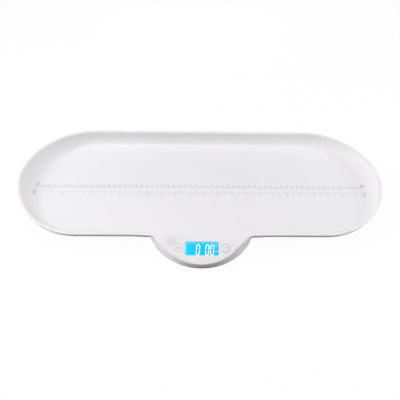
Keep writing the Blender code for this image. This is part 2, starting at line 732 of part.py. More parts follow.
def make_buttons():
    """Three caps in the panel, each over the plunger of its switch."""
    flange_under = FLANGE_TOP - BUTTON_FLANGE_THICKNESS
    ease = BUTTON_PROUD * 2
    cap_profile = [
        (0, BUTTON_PROUD),
        (BUTTON_RADIUS - ease, BUTTON_PROUD),
        (BUTTON_RADIUS, BUTTON_PROUD - ease),
        (BUTTON_RADIUS, FLANGE_TOP),
        (BUTTON_FLANGE, FLANGE_TOP),
        (BUTTON_FLANGE, flange_under),
        (BUTTON_STEM_RADIUS, flange_under),
        (BUTTON_STEM_RADIUS, STEM_END),
        (0, STEM_END),
    ]
    plunger_foot = PLUNGER_TOP - PLUNGER_HEIGHT
    half = SWITCH_SIDE / 2
    for place, (across, down) in BUTTON_PLACES.items():
        at = (across, -down)
        low, radius = PANEL_UNDER - OVERRUN, BUTTON_RADIUS + GAP
        cut(tray, disc(f"button_hole_{place}", radius, low, OVERRUN, at, parent=panel, sides=28))
        cap = turned(f"button_{place}", cap_profile, (*at, 0), parts, panel, sides=28)
        finished(cap, "button_grey")
        name = f"switch_plunger_{place}"
        finished(disc(name, PLUNGER_RADIUS, plunger_foot, PLUNGER_TOP, at, parts, panel, sides=12), "steel")
        switch = box(
            f"switch_{place}",
            (across - half, -down - half, BOARD_TOP + GAP),
            (across + half, half - down, SWITCH_TOP),
            parts,
            panel,
        )
        well_floor = plunger_foot - BUTTON_TRAVEL - GAP
        radius = PLUNGER_RADIUS + GAP
        cut(switch, disc(f"switch_well_{place}", radius, well_floor, OVERRUN, at, parent=panel, sides=12))
        finished(switch, "black_plastic")


def make_feet():
    """Four feet in their wells, each under its load cell."""
    pad_radius = FOOT_RADIUS - CUP_WALL - GAP
    pad_seat = CUP_BOTTOM + PAD_SINK
    rim = CUP_TOP - CUP_WALL / 2
    dish = pad_seat + CUP_WALL
    cup_profile = [
        (0, CUP_TOP),
        (STUD_RADIUS, CUP_TOP),
        (STUD_RADIUS, dish),
        (FOOT_RADIUS - CUP_WALL, dish),
        (FOOT_RADIUS - CUP_WALL, rim),
        (FOOT_RADIUS, rim),
        (FOOT_RADIUS, CUP_BOTTOM),
        (pad_radius + GAP, CUP_BOTTOM),
        (pad_radius + GAP, pad_seat),
        (0, pad_seat),
    ]
    ease = PAD_SINK / 2
    pad_top = pad_seat - GAP
    pad_profile = [(0, pad_top), (pad_radius, pad_top), (pad_radius, ease), (pad_radius - ease, 0), (0, 0)]
    half = CELL_SIDE / 2
    cell = box("load_cell", (-half, -half, CELL_BOTTOM), (half, half, CELL_TOP))
    inside = half - CELL_FRAME
    low, high = CELL_BOTTOM - OVERRUN, CELL_TOP + OVERRUN
    for side in (-1, 1):
        near, far = sorted((side * inside, side * (inside - CELL_SLOT)))
        cut(cell, box("cell_slot", (near, -inside, low), (far, inside, high)))
    cut(cell, box("cell_slot_end", (-inside, inside - CELL_SLOT, low), (inside, inside, high)))

    names = FOOT_PLACES.items()
    copies(baked(turned("cup", cup_profile)), {f"foot_cup_{n}": (*at, 0) for n, at in names}, "satin_white")
    copies(baked(turned("pad", pad_profile)), {f"foot_pad_{n}": (*at, 0) for n, at in names}, "grey_rubber")
    level = (CELL_BOTTOM + CELL_TOP) / 2
    copies(baked(cell), {f"load_cell_{n}": (*at, level) for n, at in names}, "steel")

    turret_foot = BASE_CLEARANCE + BASE_WALL / 2
    turret_top = WELL_ROOF + TURRET_WALL
    for name, at in names:
        join(base_shell, disc(f"turret_{name}", WELL_RADIUS + TURRET_WALL, turret_foot, turret_top, at))
    for name, at in names:
        hole_at, hole_top = lead_start(at)[:2], turret_top + OVERRUN
        cut(base_shell, disc(f"well_{name}", WELL_RADIUS, -OVERRUN, WELL_ROOF, at))
        cut(base_shell, disc(f"lead_hole_{name}", LEAD_HOLE, CELL_TOP, hole_top, hole_at, sides=12))


def lead_start(at):
    """Where a foot's lead leaves its load cell, on the side towards the middle of the scale."""
    inwards = -math.copysign(1, at[0])
    return Vector((at[0] + inwards * (CELL_SIDE / 2 - CELL_FRAME / 2), at[1], CELL_TOP + GAP))


def make_screws():
    """Six screws from below that hold the tray on the base."""
    head_top = SCREW_HEAD_LEVEL - GAP
    head_foot = head_top - SCREW_HEAD_HEIGHT
    profile = [
        (0, head_top + SCREW_LENGTH),
        (SCREW_RADIUS, head_top + SCREW_LENGTH),
        (SCREW_RADIUS, head_top),
        (SCREW_HEAD_RADIUS, head_top),
        (SCREW_HEAD_RADIUS, head_foot),
        (0, head_foot),
    ]
    screw = turned("screw", profile, sides=12)
    reach = SCREW_HEAD_RADIUS / 2
    cross_low, cross_high = head_foot - OVERRUN, head_foot + CROSS_DEPTH
    for across, along in ((reach, CROSS_WIDTH / 2), (CROSS_WIDTH / 2, reach)):
        cut(screw, box("cross", (-across, -along, cross_low), (across, along, cross_high)))
    copies(baked(screw), {f"housing_screw_{i}": (*at, 0) for i, at in enumerate(SCREW_PLACES, 1)}, "steel")

    post_foot = BASE_CLEARANCE + BASE_WALL / 2
    boss_foot, boss_top = POST_TOP + GAP, FLOOR_HEIGHT - TRAY_WALL / 2
    for number, at in enumerate(SCREW_PLACES, 1):
        join(base_shell, disc(f"post_{number}", POST_RADIUS, post_foot, POST_TOP, at, sides=16))
        join(tray, disc(f"boss_{number}", BOSS_RADIUS, boss_foot, boss_top, at, sides=16))
    shank, head = SCREW_RADIUS + GAP, SCREW_HEAD_RADIUS + GAP
    for number, at in enumerate(SCREW_PLACES, 1):
        cut(base_shell, disc(f"head_hole_{number}", head, -OVERRUN, SCREW_HEAD_LEVEL, at, sides=16))
        cut(base_shell, disc(f"shank_hole_{number}", shank, 0, POST_TOP + OVERRUN, at, sides=12))
        cut(tray, disc(f"pilot_{number}", shank, POST_TOP - OVERRUN, boss_foot + PILOT_DEPTH, at, sides=12))


def centred_box(name, width, depth, low, high, group=helpers):
    """A box about the middle of the battery bay."""
    y = CENTRE_Y + BAY_ALONG
    return box(name, (-width / 2, y - depth / 2, low), (width / 2, y + depth / 2, high), group)


def make_bay():
    """The battery bay, its cells and contacts, and the door under it."""
    foot = BASE_CLEARANCE + BASE_WALL / 2
    ledge = 2 * DOOR_LEDGE_MARGIN
    join(
        base_shell,
        centred_box("bay", BAY_LENGTH + 2 * BAY_WALL, BAY_DEPTH + 2 * BAY_WALL, foot, BAY_ROOF + BAY_WALL),
        centred_box("bay_ledge", DOOR_WIDTH + ledge, DOOR_DEPTH + ledge, foot, DOOR_TOP + GAP + DOOR_LEDGE),
    )
    cut(
        base_shell,
        centred_box("door_recess", DOOR_WIDTH + 2 * GAP, DOOR_DEPTH + 2 * GAP, -OVERRUN, DOOR_TOP + GAP),
        centred_box("bay_hollow", BAY_LENGTH, BAY_DEPTH, -OVERRUN, BAY_ROOF),
    )

    wall = BAY_LENGTH / 2
    spring_far = wall - GAP - SPRING_LENGTH
    cell_middle = spring_far - GAP - CELL_LENGTH / 2
    body_end = CELL_LENGTH / 2 - CELL_NUB
    profile = [
        (0, CELL_LENGTH / 2),
        (CELL_NUB_RADIUS, CELL_LENGTH / 2),
        (CELL_NUB_RADIUS, body_end),
        (CELL_RADIUS, body_end),
        (CELL_RADIUS, -CELL_LENGTH / 2),
        (0, -CELL_LENGTH / 2),
    ]
    for number in range(CELL_COUNT):
        row = CENTRE_Y + BAY_ALONG + (number - (CELL_COUNT - 1) / 2) * CELL_PITCH
        side = -1 if number % 2 else 1
        cell = turned(f"battery_{number + 1}", profile, (side * cell_middle, row, CELL_AXIS), parts, sides=16)
        cell.rotation_euler = (0, -side * math.pi / 2, 0)
        finished(cell, "cell_jacket")
        tab_in, tab_out = sorted((-side * (wall - GAP), -side * (wall - GAP - TAB_THICKNESS)))
        reach = TAB_SIDE / 2
        tab = box(
            f"contact_plate_{number + 1}",
            (tab_in, row - reach, CELL_AXIS - reach),
            (tab_out, row + reach, CELL_AXIS + reach),
            parts,
        )
        finished(tab, "steel")
        make_spring(f"battery_spring_{number + 1}", side, wall - GAP, spring_far, row)

    make_door()


def make_spring(name, side, wall_end, cell_end, row):
    """A conical coil between the bay's end wall and the flat end of a cell."""
    steps = SPRING_STEPS * SPRING_TURNS
    points = []
    for step in range(steps + 1):
        share = step / steps
        radius = SPRING_RADIUS + (SPRING_TIP_RADIUS - SPRING_RADIUS) * share
        along = wall_end - SPRING_WIRE + (cell_end - wall_end + 2 * SPRING_WIRE) * share
        angle = 2 * math.pi * SPRING_TURNS * share
        points.append((side * along, row + radius * math.cos(angle), CELL_AXIS + radius * math.sin(angle)))
    tube(name, points, SPRING_WIRE, "steel", 1)


def tube(name, points, radius, finish, resolution=2):
    """A round wire along the points, with closed ends."""
    curve = bpy.data.curves.new(name, "CURVE")
    curve.dimensions = "3D"
    curve.bevel_depth = radius
    curve.bevel_resolution = resolution
    curve.use_fill_caps = True
    spline = curve.splines.new("POLY")
    spline.points.add(len(points) - 1)
    for point, at in zip(spline.points, points):
        point.co = (*at, 1)
    return finished(placed(name, curve, parts), finish)


def make_door():
    """The battery door, round about the hinge line in front, with a bending tongue at its back edge."""
    half = DOOR_THICKNESS / 2
    front = [tuple(point) for point, _ in arc((0, 0), half, math.pi / 2, math.pi * 3 / 2, HINGE_STEPS)]
    outline = front + [(DOOR_DEPTH - half, -half), (DOOR_DEPTH - half, half)]
    hinge = (0, CENTRE_Y + BAY_ALONG - DOOR_DEPTH / 2 + half, BASE_CLEARANCE + half)
    turn = (math.pi / 2, 0, math.pi / 2)
    door = slab("battery_door", outline, -DOOR_WIDTH / 2, DOOR_WIDTH / 2, parts)
    door.location = hinge
    door.rotation_euler = turn

    stub_reach = DOOR_WIDTH / 2 + HINGE_STUB
    hole_reach = stub_reach + GAP
    stubs = disc("hinge_stubs", HINGE_RADIUS, -stub_reach, stub_reach, sides=12)
    holes = disc("hinge_holes", HINGE_RADIUS + HINGE_CLEARANCE, -hole_reach, hole_reach, sides=12)
    for rod in (stubs, holes):
        rod.location = hinge
        rod.rotation_euler = turn
    join(door, stubs)
    cut(base_shell, holes)

    back = hinge[1] - half + DOOR_DEPTH
    slot_front, slot_back = back - TONGUE_LENGTH, back + OVERRUN
    for side in (-1, 1):
        inner, outer = sorted((side * TONGUE_WIDTH / 2, side * (TONGUE_WIDTH / 2 + TONGUE_SLOT)))
        cut(door, box("tongue_slot", (inner, slot_front, -OVERRUN), (outer, slot_back, DOOR_TOP + OVERRUN)))
    finished(door, "satin_white")
    finger = TONGUE_WIDTH / 2
    notch_top = BASE_CLEARANCE + BASE_WALL / 2
    cut(base_shell, box("finger_notch", (-finger, back - GAP, -OVERRUN), (finger, back + finger, notch_top)))


def smooth_route(points, step):
    """Points every step or so along a smooth curve through the route's own points."""
    route = [Vector(point) for point in points]
    padded = [2 * route[0] - route[1], *route, 2 * route[-1] - route[-2]]
    found = [route[0]]
    for before, start, end, after in zip(padded, padded[1:], padded[2:], padded[3:]):
        count = max(1, round((end - start).length / step))
        for i in range(1, count + 1):
            t = i / count
            found.append(
                0.5
                * (
                    2 * start
                    + (end - before) * t
                    + (2 * before - 5 * start + 4 * end - after) * t**2
                    + (3 * start - before - 3 * end + after) * t**3
                )
            )
    return found


def make_leads():
    """The leads from the load cells and the battery bay to the board, laid on the base's floor."""
    floor = BASE_FLOOR + GAP + LEAD_RADIUS
    lifted = floor + LEAD_LIFT
    over = WELL_ROOF + TURRET_WALL + 3 * LEAD_RADIUS
    half_berth = LEAD_BERTH / 2
    front = [
        (SCREW_ACROSS + half_berth, LEAD_BERTH - SCREW_ALONG, floor),
        (SCREW_ACROSS - LEAD_BERTH, half_berth - SCREW_ALONG, floor),
        (NOSE_SCREW_ACROSS, 2 * LEAD_BERTH - NOSE_SCREW_ALONG, floor),
        (NOSE_SCREW_ACROSS - LEAD_BERTH, -NOSE_SCREW_ALONG, lifted),
    ]
    turn = (SCREW_ACROSS - LEAD_BERTH, SCREW_ALONG - 3 * LEAD_BERTH)
    end = (NOSE_SCREW_ACROSS - LEAD_BERTH, -SCREW_ALONG - half_berth)
    rear = [
        (SCREW_ACROSS + half_berth, SCREW_ALONG - LEAD_BERTH, floor),
        (*turn, floor),
        ((turn[0] + end[0]) / 2, (turn[1] + end[1]) / 2, floor),
        (*end, floor),
        (NOSE_SCREW_ACROSS - 2 * LEAD_BERTH, half_berth - NOSE_SCREW_ALONG, lifted),
    ]
    for name, at in FOOT_PLACES.items():
        side = math.copysign(1, at[0])
        start = lead_start(at)
        rise = Vector((start.x, start.y, over))
        bends, pad = (front, FRONT_PAD_ACROSS) if name.startswith("front") else (rear, REAR_PAD_ACROSS)
        landing = in_panel(side * pad, CELL_PAD_DOWN, BOARD_UNDER - GAP)
        rim = FOOT_ACROSS - WELL_RADIUS - TURRET_WALL
        past_rim = [(rim + LEAD_RADIUS, over), (rim - 3 * LEAD_RADIUS, (over + floor) / 2)]
        route = [start, rise, *[(side * x, at[1], z) for x, z in past_rim]]
        route += [(side * x, CENTRE_Y + y, z) for x, y, z in bends]
        route += [landing - Vector((0, 0, 3 * LEAD_RADIUS)), landing]
        tube(f"lead_{name}", smooth_route(route, LEAD_STEP), LEAD_RADIUS, "lead_jacket")
    bay_front = CENTRE_Y + BAY_ALONG - DOOR_DEPTH / 2 - DOOR_LEDGE_MARGIN - GAP
    for name, side in (("left", -1), ("right", 1)):
        landing = in_panel(side * BATTERY_PAD_ACROSS, 0, BOARD_UNDER - GAP)
        route = [
            (side * BATTERY_LEAD_ACROSS, bay_front, floor),
            (side * BATTERY_LEAD_ACROSS, bay_front - LEAD_BERTH, floor),
            (side * BATTERY_PAD_ACROSS, CENTRE_Y - SCREW_ALONG, floor),
            (side * BATTERY_PAD_ACROSS, CENTRE_Y + half_berth - NOSE_SCREW_ALONG, lifted),
            landing - Vector((0, 0, 3 * LEAD_RADIUS)),
            landing,
        ]
        tube(f"battery_lead_{name}", smooth_route(route, LEAD_STEP), LEAD_RADIUS, "lead_jacket")


make_window()
make_board()
make_buttons()
make_feet()
make_screws()
make_bay()
make_leads()
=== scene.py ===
# Digital baby weighing scale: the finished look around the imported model
import math

import bmesh
import bpy
from mathutils import Matrix, Vector
from mathutils.bvhtree import BVHTree


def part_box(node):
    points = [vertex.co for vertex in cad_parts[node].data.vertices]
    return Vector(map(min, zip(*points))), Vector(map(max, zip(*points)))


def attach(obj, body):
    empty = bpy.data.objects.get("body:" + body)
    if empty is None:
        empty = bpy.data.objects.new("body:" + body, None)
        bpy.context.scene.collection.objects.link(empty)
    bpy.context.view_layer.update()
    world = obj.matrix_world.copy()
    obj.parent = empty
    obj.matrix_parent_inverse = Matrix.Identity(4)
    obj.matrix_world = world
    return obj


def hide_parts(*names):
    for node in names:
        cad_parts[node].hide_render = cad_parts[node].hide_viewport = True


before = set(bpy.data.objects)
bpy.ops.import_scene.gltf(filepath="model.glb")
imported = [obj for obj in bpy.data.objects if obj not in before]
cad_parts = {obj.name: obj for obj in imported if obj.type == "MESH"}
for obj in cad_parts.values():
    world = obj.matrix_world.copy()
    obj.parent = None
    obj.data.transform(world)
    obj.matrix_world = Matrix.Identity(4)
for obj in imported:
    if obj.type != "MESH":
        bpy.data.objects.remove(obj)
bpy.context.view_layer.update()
scene = bpy.context.scene
scene.view_settings.view_transform = "Standard"
bodyName = "scale_body"
finishes = {}
print("frame loaded:", len(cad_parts), "nodes")


# Small tools for meshes
def addObject(name, data):
    made = bpy.data.objects.new(name, data)
    scene.collection.objects.link(made)
    return made


def meshFromBm(bm, name, outwards=True):
    if outwards:
        bmesh.ops.recalc_face_normals(bm, faces=bm.faces)
    mesh = bpy.data.meshes.new(name)
    bm.to_mesh(mesh)
    bm.free()
    return mesh


def bakedMesh(obj):
    # the object's mesh with its modifiers applied; the object goes
    graph = bpy.context.evaluated_depsgraph_get()
    mesh = bpy.data.meshes.new_from_object(obj.evaluated_get(graph))
    mesh.name = obj.name
    bpy.data.objects.remove(obj)
    return mesh


def dressed(name, mesh, body, finish, replaced=(), sharpAngle=32):
    # a finished piece: its place is in its mesh, and it rides on its body
    mesh.name = name
    if sharpAngle:
        mesh.shade_smooth()
        mesh.set_sharp_from_angle(angle=math.radians(sharpAngle))
    obj = addObject(name, mesh)
    if finish:
        mesh.materials.clear()
        mesh.materials.append(finishes[finish])
    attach(obj, body)
    if replaced:
        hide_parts(*replaced)
    return obj


def loftBetween(bm, rings):
    # closed rings of points, each joined to the next, and capped at both ends
    rows = [[bm.verts.new(point) for point in ring] for ring in rings]
    count = len(rows[0])
    for inner, outer in zip(rows, rows[1:]):
        for i in range(count):
            j = (i + 1) % count
            bm.faces.new((inner[i], outer[i], outer[j], inner[j]))
    bm.faces.new(rows[0])
    bm.faces.new(rows[-1][::-1])


def loftedMesh(name, rings):
    bm = bmesh.new()
    loftBetween(bm, rings)
    return meshFromBm(bm, name)


def circleOutline(radius, at=(0, 0), steps=64):
    angles = [2 * math.pi * step / steps for step in range(steps)]
    return [(at[0] + radius * math.cos(angle), at[1] + radius * math.sin(angle)) for angle in angles]


def turnedMesh(name, profile, steps, at=(0, 0)):
    # a profile of (radius, level) pairs, from the axis at the top down to the axis at the bottom
    bm = bmesh.new()
    rows = []
    for radius, level in profile:
        ring = circleOutline(radius, steps=steps) if radius else [(0, 0)]
        rows.append([bm.verts.new((x, y, level)) for x, y in ring])
    for upper, lower in zip(rows, rows[1:]):
        for i in range(steps):
            j = (i + 1) % steps
            corners = [row[k % len(row)] for row, k in ((upper, i), (lower, i), (lower, j), (upper, j))]
            kept = [vert for place, vert in enumerate(corners) if vert not in corners[:place]]
            if len(kept) > 2:
                bm.faces.new(kept)
    bmesh.ops.translate(bm, verts=bm.verts, vec=(*at, 0))
    return meshFromBm(bm, name)


def arcPoints(centre, radius, start, end, steps):
    # points on an arc, each with the direction away from its centre
    found = []
    for step in range(steps + 1):
        angle = start + (end - start) * step / steps
        away = Vector((math.cos(angle), math.sin(angle)))
        found.append((Vector(centre) + radius * away, away))
    return found


def roundedEdge(edge, steps):
    # (inset, depth) pairs over a rounded edge, from its flat face round to its side
    angles = [math.pi / 2 * step / steps for step in range(steps + 1)]
    return [(edge * (1 - math.sin(angle)), edge * (1 - math.cos(angle))) for angle in angles]


def roundedRectangle(width, height, radius, middle, steps=6):
    points = []
    for quarter, (sx, sy) in enumerate(((1, 1), (-1, 1), (-1, -1), (1, -1))):
        centre = middle + Vector((sx * (width / 2 - radius), sy * (height / 2 - radius)))
        quarterArc = arcPoints(centre, radius, math.pi / 2 * quarter, math.pi / 2 * (quarter + 1), steps)
        points += [point for point, _ in quarterArc]
    return points


def slabMesh(name, shapes):
    # a flat piece from outlines of equal count, each with its level, from the top down
    return loftedMesh(name, [[(x, y, level) for x, y in outline] for outline, level in shapes])


def drumMesh(radius, low, high, at, sides, flare=0):
    # an upright cylinder for a cut or a post, wider by the flare at its lower end
    foot = [(radius, low + flare), (radius + flare, low)] if flare else [(radius, low)]
    return turnedMesh("drum", [(0, high), (radius, high), *foot, (0, low)], sides, at)


def drumMeshes(radius, low, high, places, sides, flare=0):
    return [drumMesh(radius, low, high, at, sides, flare) for at in places]


def boxMesh(low, high):
    low, high = Vector(low), Vector(high)
    bm = bmesh.new()
    bmesh.ops.create_cube(bm, size=1)
    bmesh.ops.scale(bm, vec=high - low, verts=bm.verts)
    bmesh.ops.translate(bm, verts=bm.verts, vec=(low + high) / 2)
    return meshFromBm(bm, "box", outwards=False)


def joinedMesh(name, meshes):
    bm = bmesh.new()
    for mesh in meshes:
        bm.from_mesh(mesh)
    joined = meshFromBm(bm, name, outwards=False)
    for mesh in meshes:
        bpy.data.meshes.remove(mesh)
    return joined


def laidOver(mesh, middle, way=1):
    # an upright mesh turned over so that its top points along X
    mesh.transform(Matrix.Translation(middle) @ Matrix.Rotation(way * math.pi / 2, 4, "Y"))
    return mesh


def carved(mesh, steps):
    # the mesh after unions and cuts with other meshes: steps are (operation, meshes that don't touch)
    obj = addObject(mesh.name, mesh)
    tools = []
    for number, (operation, meshes) in enumerate(steps):
        tools.append(addObject(f"tool{number}", joinedMesh(f"tool{number}", meshes)))
        modifier = obj.modifiers.new(f"step{number}", "BOOLEAN")
        modifier.operation, modifier.object = operation, tools[-1]
    made = bakedMesh(obj)
    for tool in tools:
        bpy.data.objects.remove(tool)
    return made


def smoothShare(share):
    share = min(max(share, 0), 1)
    return share * share * (3 - 2 * share)


# Tools for node trees
def wire(tree, value, socket):
    # another node's output, or a plain value, into a socket
    if isinstance(value, bpy.types.NodeSocket):
        tree.links.new(value, socket)
    elif value is not None:
        socket.default_value = (*value, 1) if socket.type == "RGBA" and len(value) == 3 else value


def addNode(tree, kind, inputs=None, **settings):
    node = tree.nodes.new(kind)
    for key, value in settings.items():
        setattr(node, key, value)
    for key, value in (inputs or {}).items():
        wire(tree, value, node.inputs[key])
    return node


def nodeOut(tree, kind, outlet, inputs=None, **settings):
    return addNode(tree, kind, inputs, **settings).outputs[outlet]


def mathNode(tree, operation, first, second=None, clamp=False):
    return nodeOut(tree, "ShaderNodeMath", 0, {0: first, 1: second}, operation=operation, use_clamp=clamp)


def newTree(name, kind, inputs, outputs):
    # a node tree with named sockets: inputs are (label, kind, value), outputs are (label, kind)
    tree = bpy.data.node_groups.new(name, kind)
    for label, socketKind, *value in (*inputs, *outputs):
        way = "INPUT" if value else "OUTPUT"
        socket = tree.interface.new_socket(name=label, in_out=way, socket_type="NodeSocket" + socketKind)
        if value and value[0] is not None:
            socket.default_value = value[0]
    return tree, tree.nodes.new("NodeGroupInput").outputs, tree.nodes.new("NodeGroupOutput").inputs


def noiseNode(tree, place, scale, detail, roughness=0.5):
    inputs = {"Vector": place, "Scale": scale, "Detail": detail, "Roughness": roughness}
    return nodeOut(tree, "ShaderNodeTexNoise", "Fac", inputs)


def makeGrainGroup():
    # fine moulded grain with a slow unevenness under it
    inputs = [("Place", "Vector", None), ("Grain Scale", "Float", 2500), ("Wave Scale", "Float", 40)]
    inputs.append(("Wave", "Float", 0.3))
    outputs = [("Height", "Float"), ("Unevenness", "Float")]
    group, given, result = newTree("mouldedGrain", "ShaderNodeTree", inputs, outputs)
    grain = noiseNode(group, given["Place"], given["Grain Scale"], 3, 0.6)
    wave = noiseNode(group, given["Place"], given["Wave Scale"], 2)
    lifted = mathNode(group, "MULTIPLY", wave, given["Wave"])
    wire(group, mathNode(group, "ADD", grain, lifted), result["Height"])
    wire(group, wave, result["Unevenness"])
    return group


# Dust: how large a speck is in its cell, and the rubbed patches' scale, detail, start and share
dustSizes = {"speck": 0.12, "patchScale": 60.0, "patchDetail": 4, "patchStart": 0.5, "patchShare": 0.4}


def makeDustGroup():
    # sparse specks and faint rubbed patches, as a mask
    size = dustSizes
    inputs = [("Place", "Vector", None), ("Speck Scale", "Float", 900), ("Amount", "Float", 0.2)]
    group, given, result = newTree("handledDust", "ShaderNodeTree", inputs, [("Mask", "Float")])
    dots = {"Vector": given["Place"], "Scale": given["Speck Scale"], "Randomness": 1.0}
    away = nodeOut(group, "ShaderNodeTexVoronoi", "Distance", dots)
    specks = mathNode(group, "LESS_THAN", away, size["speck"])
    patches = noiseNode(group, given["Place"], size["patchScale"], size["patchDetail"])
    rubbed = mathNode(group, "SUBTRACT", patches, size["patchStart"], clamp=True)
    faint = mathNode(group, "MULTIPLY", rubbed, size["patchShare"])
    both = mathNode(group, "ADD", mathNode(group, "MULTIPLY", specks, rubbed), faint)
    wire(group, mathNode(group, "MULTIPLY", both, given["Amount"], clamp=True), result["Mask"])
    return group


def makeBrushedGroup():
    # long fine scratches along one direction, as a height
    inputs = [("Place", "Vector", None), ("Scale", "Float", 3000), ("Stretch", "Vector", (0.02, 1, 1))]
    group, given, result = newTree("brushedLines", "ShaderNodeTree", inputs, [("Height", "Float")])
    places = {0: given["Place"], 1: given["Stretch"]}
    stretched = nodeOut(group, "ShaderNodeVectorMath", 0, places, operation="MULTIPLY")
    wire(group, noiseNode(group, stretched, given["Scale"], 2, 0.7), result["Height"])
    return group


grainGroup, dustGroup, brushedGroup = makeGrainGroup(), makeDustGroup(), makeBrushedGroup()


def grainOf(tree, place, scale, waveScale, wave):
    inputs = {"Place": place, "Grain Scale": scale, "Wave Scale": waveScale, "Wave": wave}
    return addNode(tree, "ShaderNodeGroup", inputs, node_tree=grainGroup).outputs


def dustOf(tree, place, scale, amount):
    inputs = {"Place": place, "Speck Scale": scale, "Amount": amount}
    return nodeOut(tree, "ShaderNodeGroup", "Mask", inputs, node_tree=dustGroup)


def newMaterial(name, constants):
    # a finish: its tree, its shader's sockets and the object's own coordinates
    material = finishes[name] = bpy.data.materials.new(name)
    material.use_nodes = True
    skin = material.node_tree.nodes["Principled BSDF"].inputs
    for key, value in constants.items():
        skin[key].default_value = value
    return material.node_tree, skin, nodeOut(material.node_tree, "ShaderNodeTexCoord", "Object")


def blendColours(tree, share, first, second):
    # first where the share is 0, second where it is 1
    return nodeOut(tree, "ShaderNodeMix", 2, {0: share, 6: first, 7: second}, data_type="RGBA")


def paint(tree, skin, share, first, second, socket="Base Color"):
    wire(tree, blendColours(tree, share, first, second), skin[socket])


def gloss(tree, skin, share, low, high):
    # the roughness, between two values by a 0 to 1 mask
    inputs = {"Value": share, "To Min": low, "To Max": high}
    wire(tree, nodeOut(tree, "ShaderNodeMapRange", "Result", inputs), skin["Roughness"])


def addBump(tree, skin, height, strength, distance):
    inputs = {"Height": height, "Strength": strength, "Distance": distance}
    wire(tree, nodeOut(tree, "ShaderNodeBump", "Normal", inputs), skin["Normal"])


# Moulded plastics: grain in the height, a slow unevenness in colour and gloss, faint specks.
# Colours are the plastic, its uneven places and the dust. Roughness is its middle and spread, grain its
# scale with the unevenness's scale and height, dust its scale and amount, bump its strength and depth.
plasticLooks = {
    "trayGloss": {
        "colours": ((0.875, 0.873, 0.885), (0.862, 0.860, 0.874), (0.80, 0.79, 0.79)),
        "roughness": (0.30, 0.04), "grain": (2600, 25, 0.4), "dust": (700, 0.12), "bump": (0.05, 0.0002),
        "shader": {"Coat Weight": 0.05, "Coat Roughness": 0.15, "Specular IOR Level": 0.3},
    },
    "baseSatin": {
        "colours": ((0.865, 0.853, 0.866), (0.850, 0.838, 0.852), (0.74, 0.72, 0.72)),
        "roughness": (0.45, 0.05), "grain": (1800, 30, 0.4), "dust": (600, 0.2), "bump": (0.12, 0.0002),
        "shader": {"Specular IOR Level": 0.12},
    },
    "buttonSatin": {
        "colours": ((0.885, 0.885, 0.893), (0.875, 0.875, 0.885), (0.80, 0.80, 0.80)),
        "roughness": (0.36, 0.04), "grain": (3200, 60, 0.3), "dust": (900, 0.1), "bump": (0.06, 0.00015),
    },
    "blackMoulding": {
        "colours": ((0.028, 0.028, 0.032), (0.018, 0.018, 0.021), (0.12, 0.12, 0.12)),
        "roughness": (0.5, 0.08), "grain": (2200, 90, 0.4), "dust": (1200, 0.3), "bump": (0.2, 0.0002),
    },
    "padRubber": {
        "colours": ((0.30, 0.31, 0.325), (0.26, 0.27, 0.285), (0.46, 0.45, 0.43)),
        "roughness": (0.82, 0.08), "grain": (1500, 120, 0.6), "dust": (800, 0.6), "bump": (0.35, 0.0003),
    },
    "leadJacket": {
        "colours": ((0.50, 0.045, 0.04), (0.42, 0.035, 0.03), (0.55, 0.25, 0.22)),
        "roughness": (0.42, 0.06), "grain": (2400, 200, 0.5), "dust": (1500, 0.25), "bump": (0.15, 0.0001),
    },
    "lightPlate": {
        "colours": ((0.80, 0.88, 0.92), (0.72, 0.82, 0.88), (0.6, 0.66, 0.7)),
        "roughness": (0.4, 0.05), "grain": (900, 80, 0.4), "dust": (900, 0.1), "bump": (0.1, 0.0001),
    },
}


def mouldedPlastic(name, look):
    middle, around = look["roughness"]
    tree, skin, place = newMaterial(name, {"Roughness": middle, **look.get("shader", {})})
    grain = grainOf(tree, place, *look["grain"])
    plastic, uneven, dusty = look["colours"]
    base = blendColours(tree, grain["Unevenness"], plastic, uneven)
    paint(tree, skin, dustOf(tree, place, *look["dust"]), base, dusty)
    gloss(tree, skin, grain["Unevenness"], middle - around, middle + around)
    addBump(tree, skin, grain["Height"], *look["bump"])


# Steels: colour, how the brushed lines stretch, roughness; and what all of them share
steelSurface = {"lines": 2600, "grain": (900, 140, 0.5), "dull": 0.82, "glossier": 0.08, "duller": 0.12}
steelSurface["bump"] = (0.15, 0.00005)
steelLooks = {
    "platedSteel": ((0.66, 0.665, 0.68), (1, 1, 1), 0.26),
    "cellSteel": ((0.60, 0.60, 0.61), (0.02, 1, 1), 0.34),
    "springSteel": ((0.70, 0.70, 0.71), (1, 1, 0.05), 0.22),
}


def makeSteel(name, colour, stretch, roughness):
    tree, skin, place = newMaterial(name, {"Roughness": roughness, "Metallic": 1.0})
    look = steelSurface
    inputs = {"Place": place, "Scale": look["lines"], "Stretch": stretch}
    lines = nodeOut(tree, "ShaderNodeGroup", "Height", inputs, node_tree=brushedGroup)
    dull = tuple(channel * look["dull"] for channel in colour)
    uneven = grainOf(tree, place, *look["grain"])["Unevenness"]
    paint(tree, skin, uneven, colour, dull)
    gloss(tree, skin, lines, roughness - look["glossier"], roughness + look["duller"])
    addBump(tree, skin, lines, *look["bump"])


for finishName, finishLook in plasticLooks.items():
    mouldedPlastic(finishName, finishLook)
for finishName, finishLook in steelLooks.items():
    makeSteel(finishName, *finishLook)


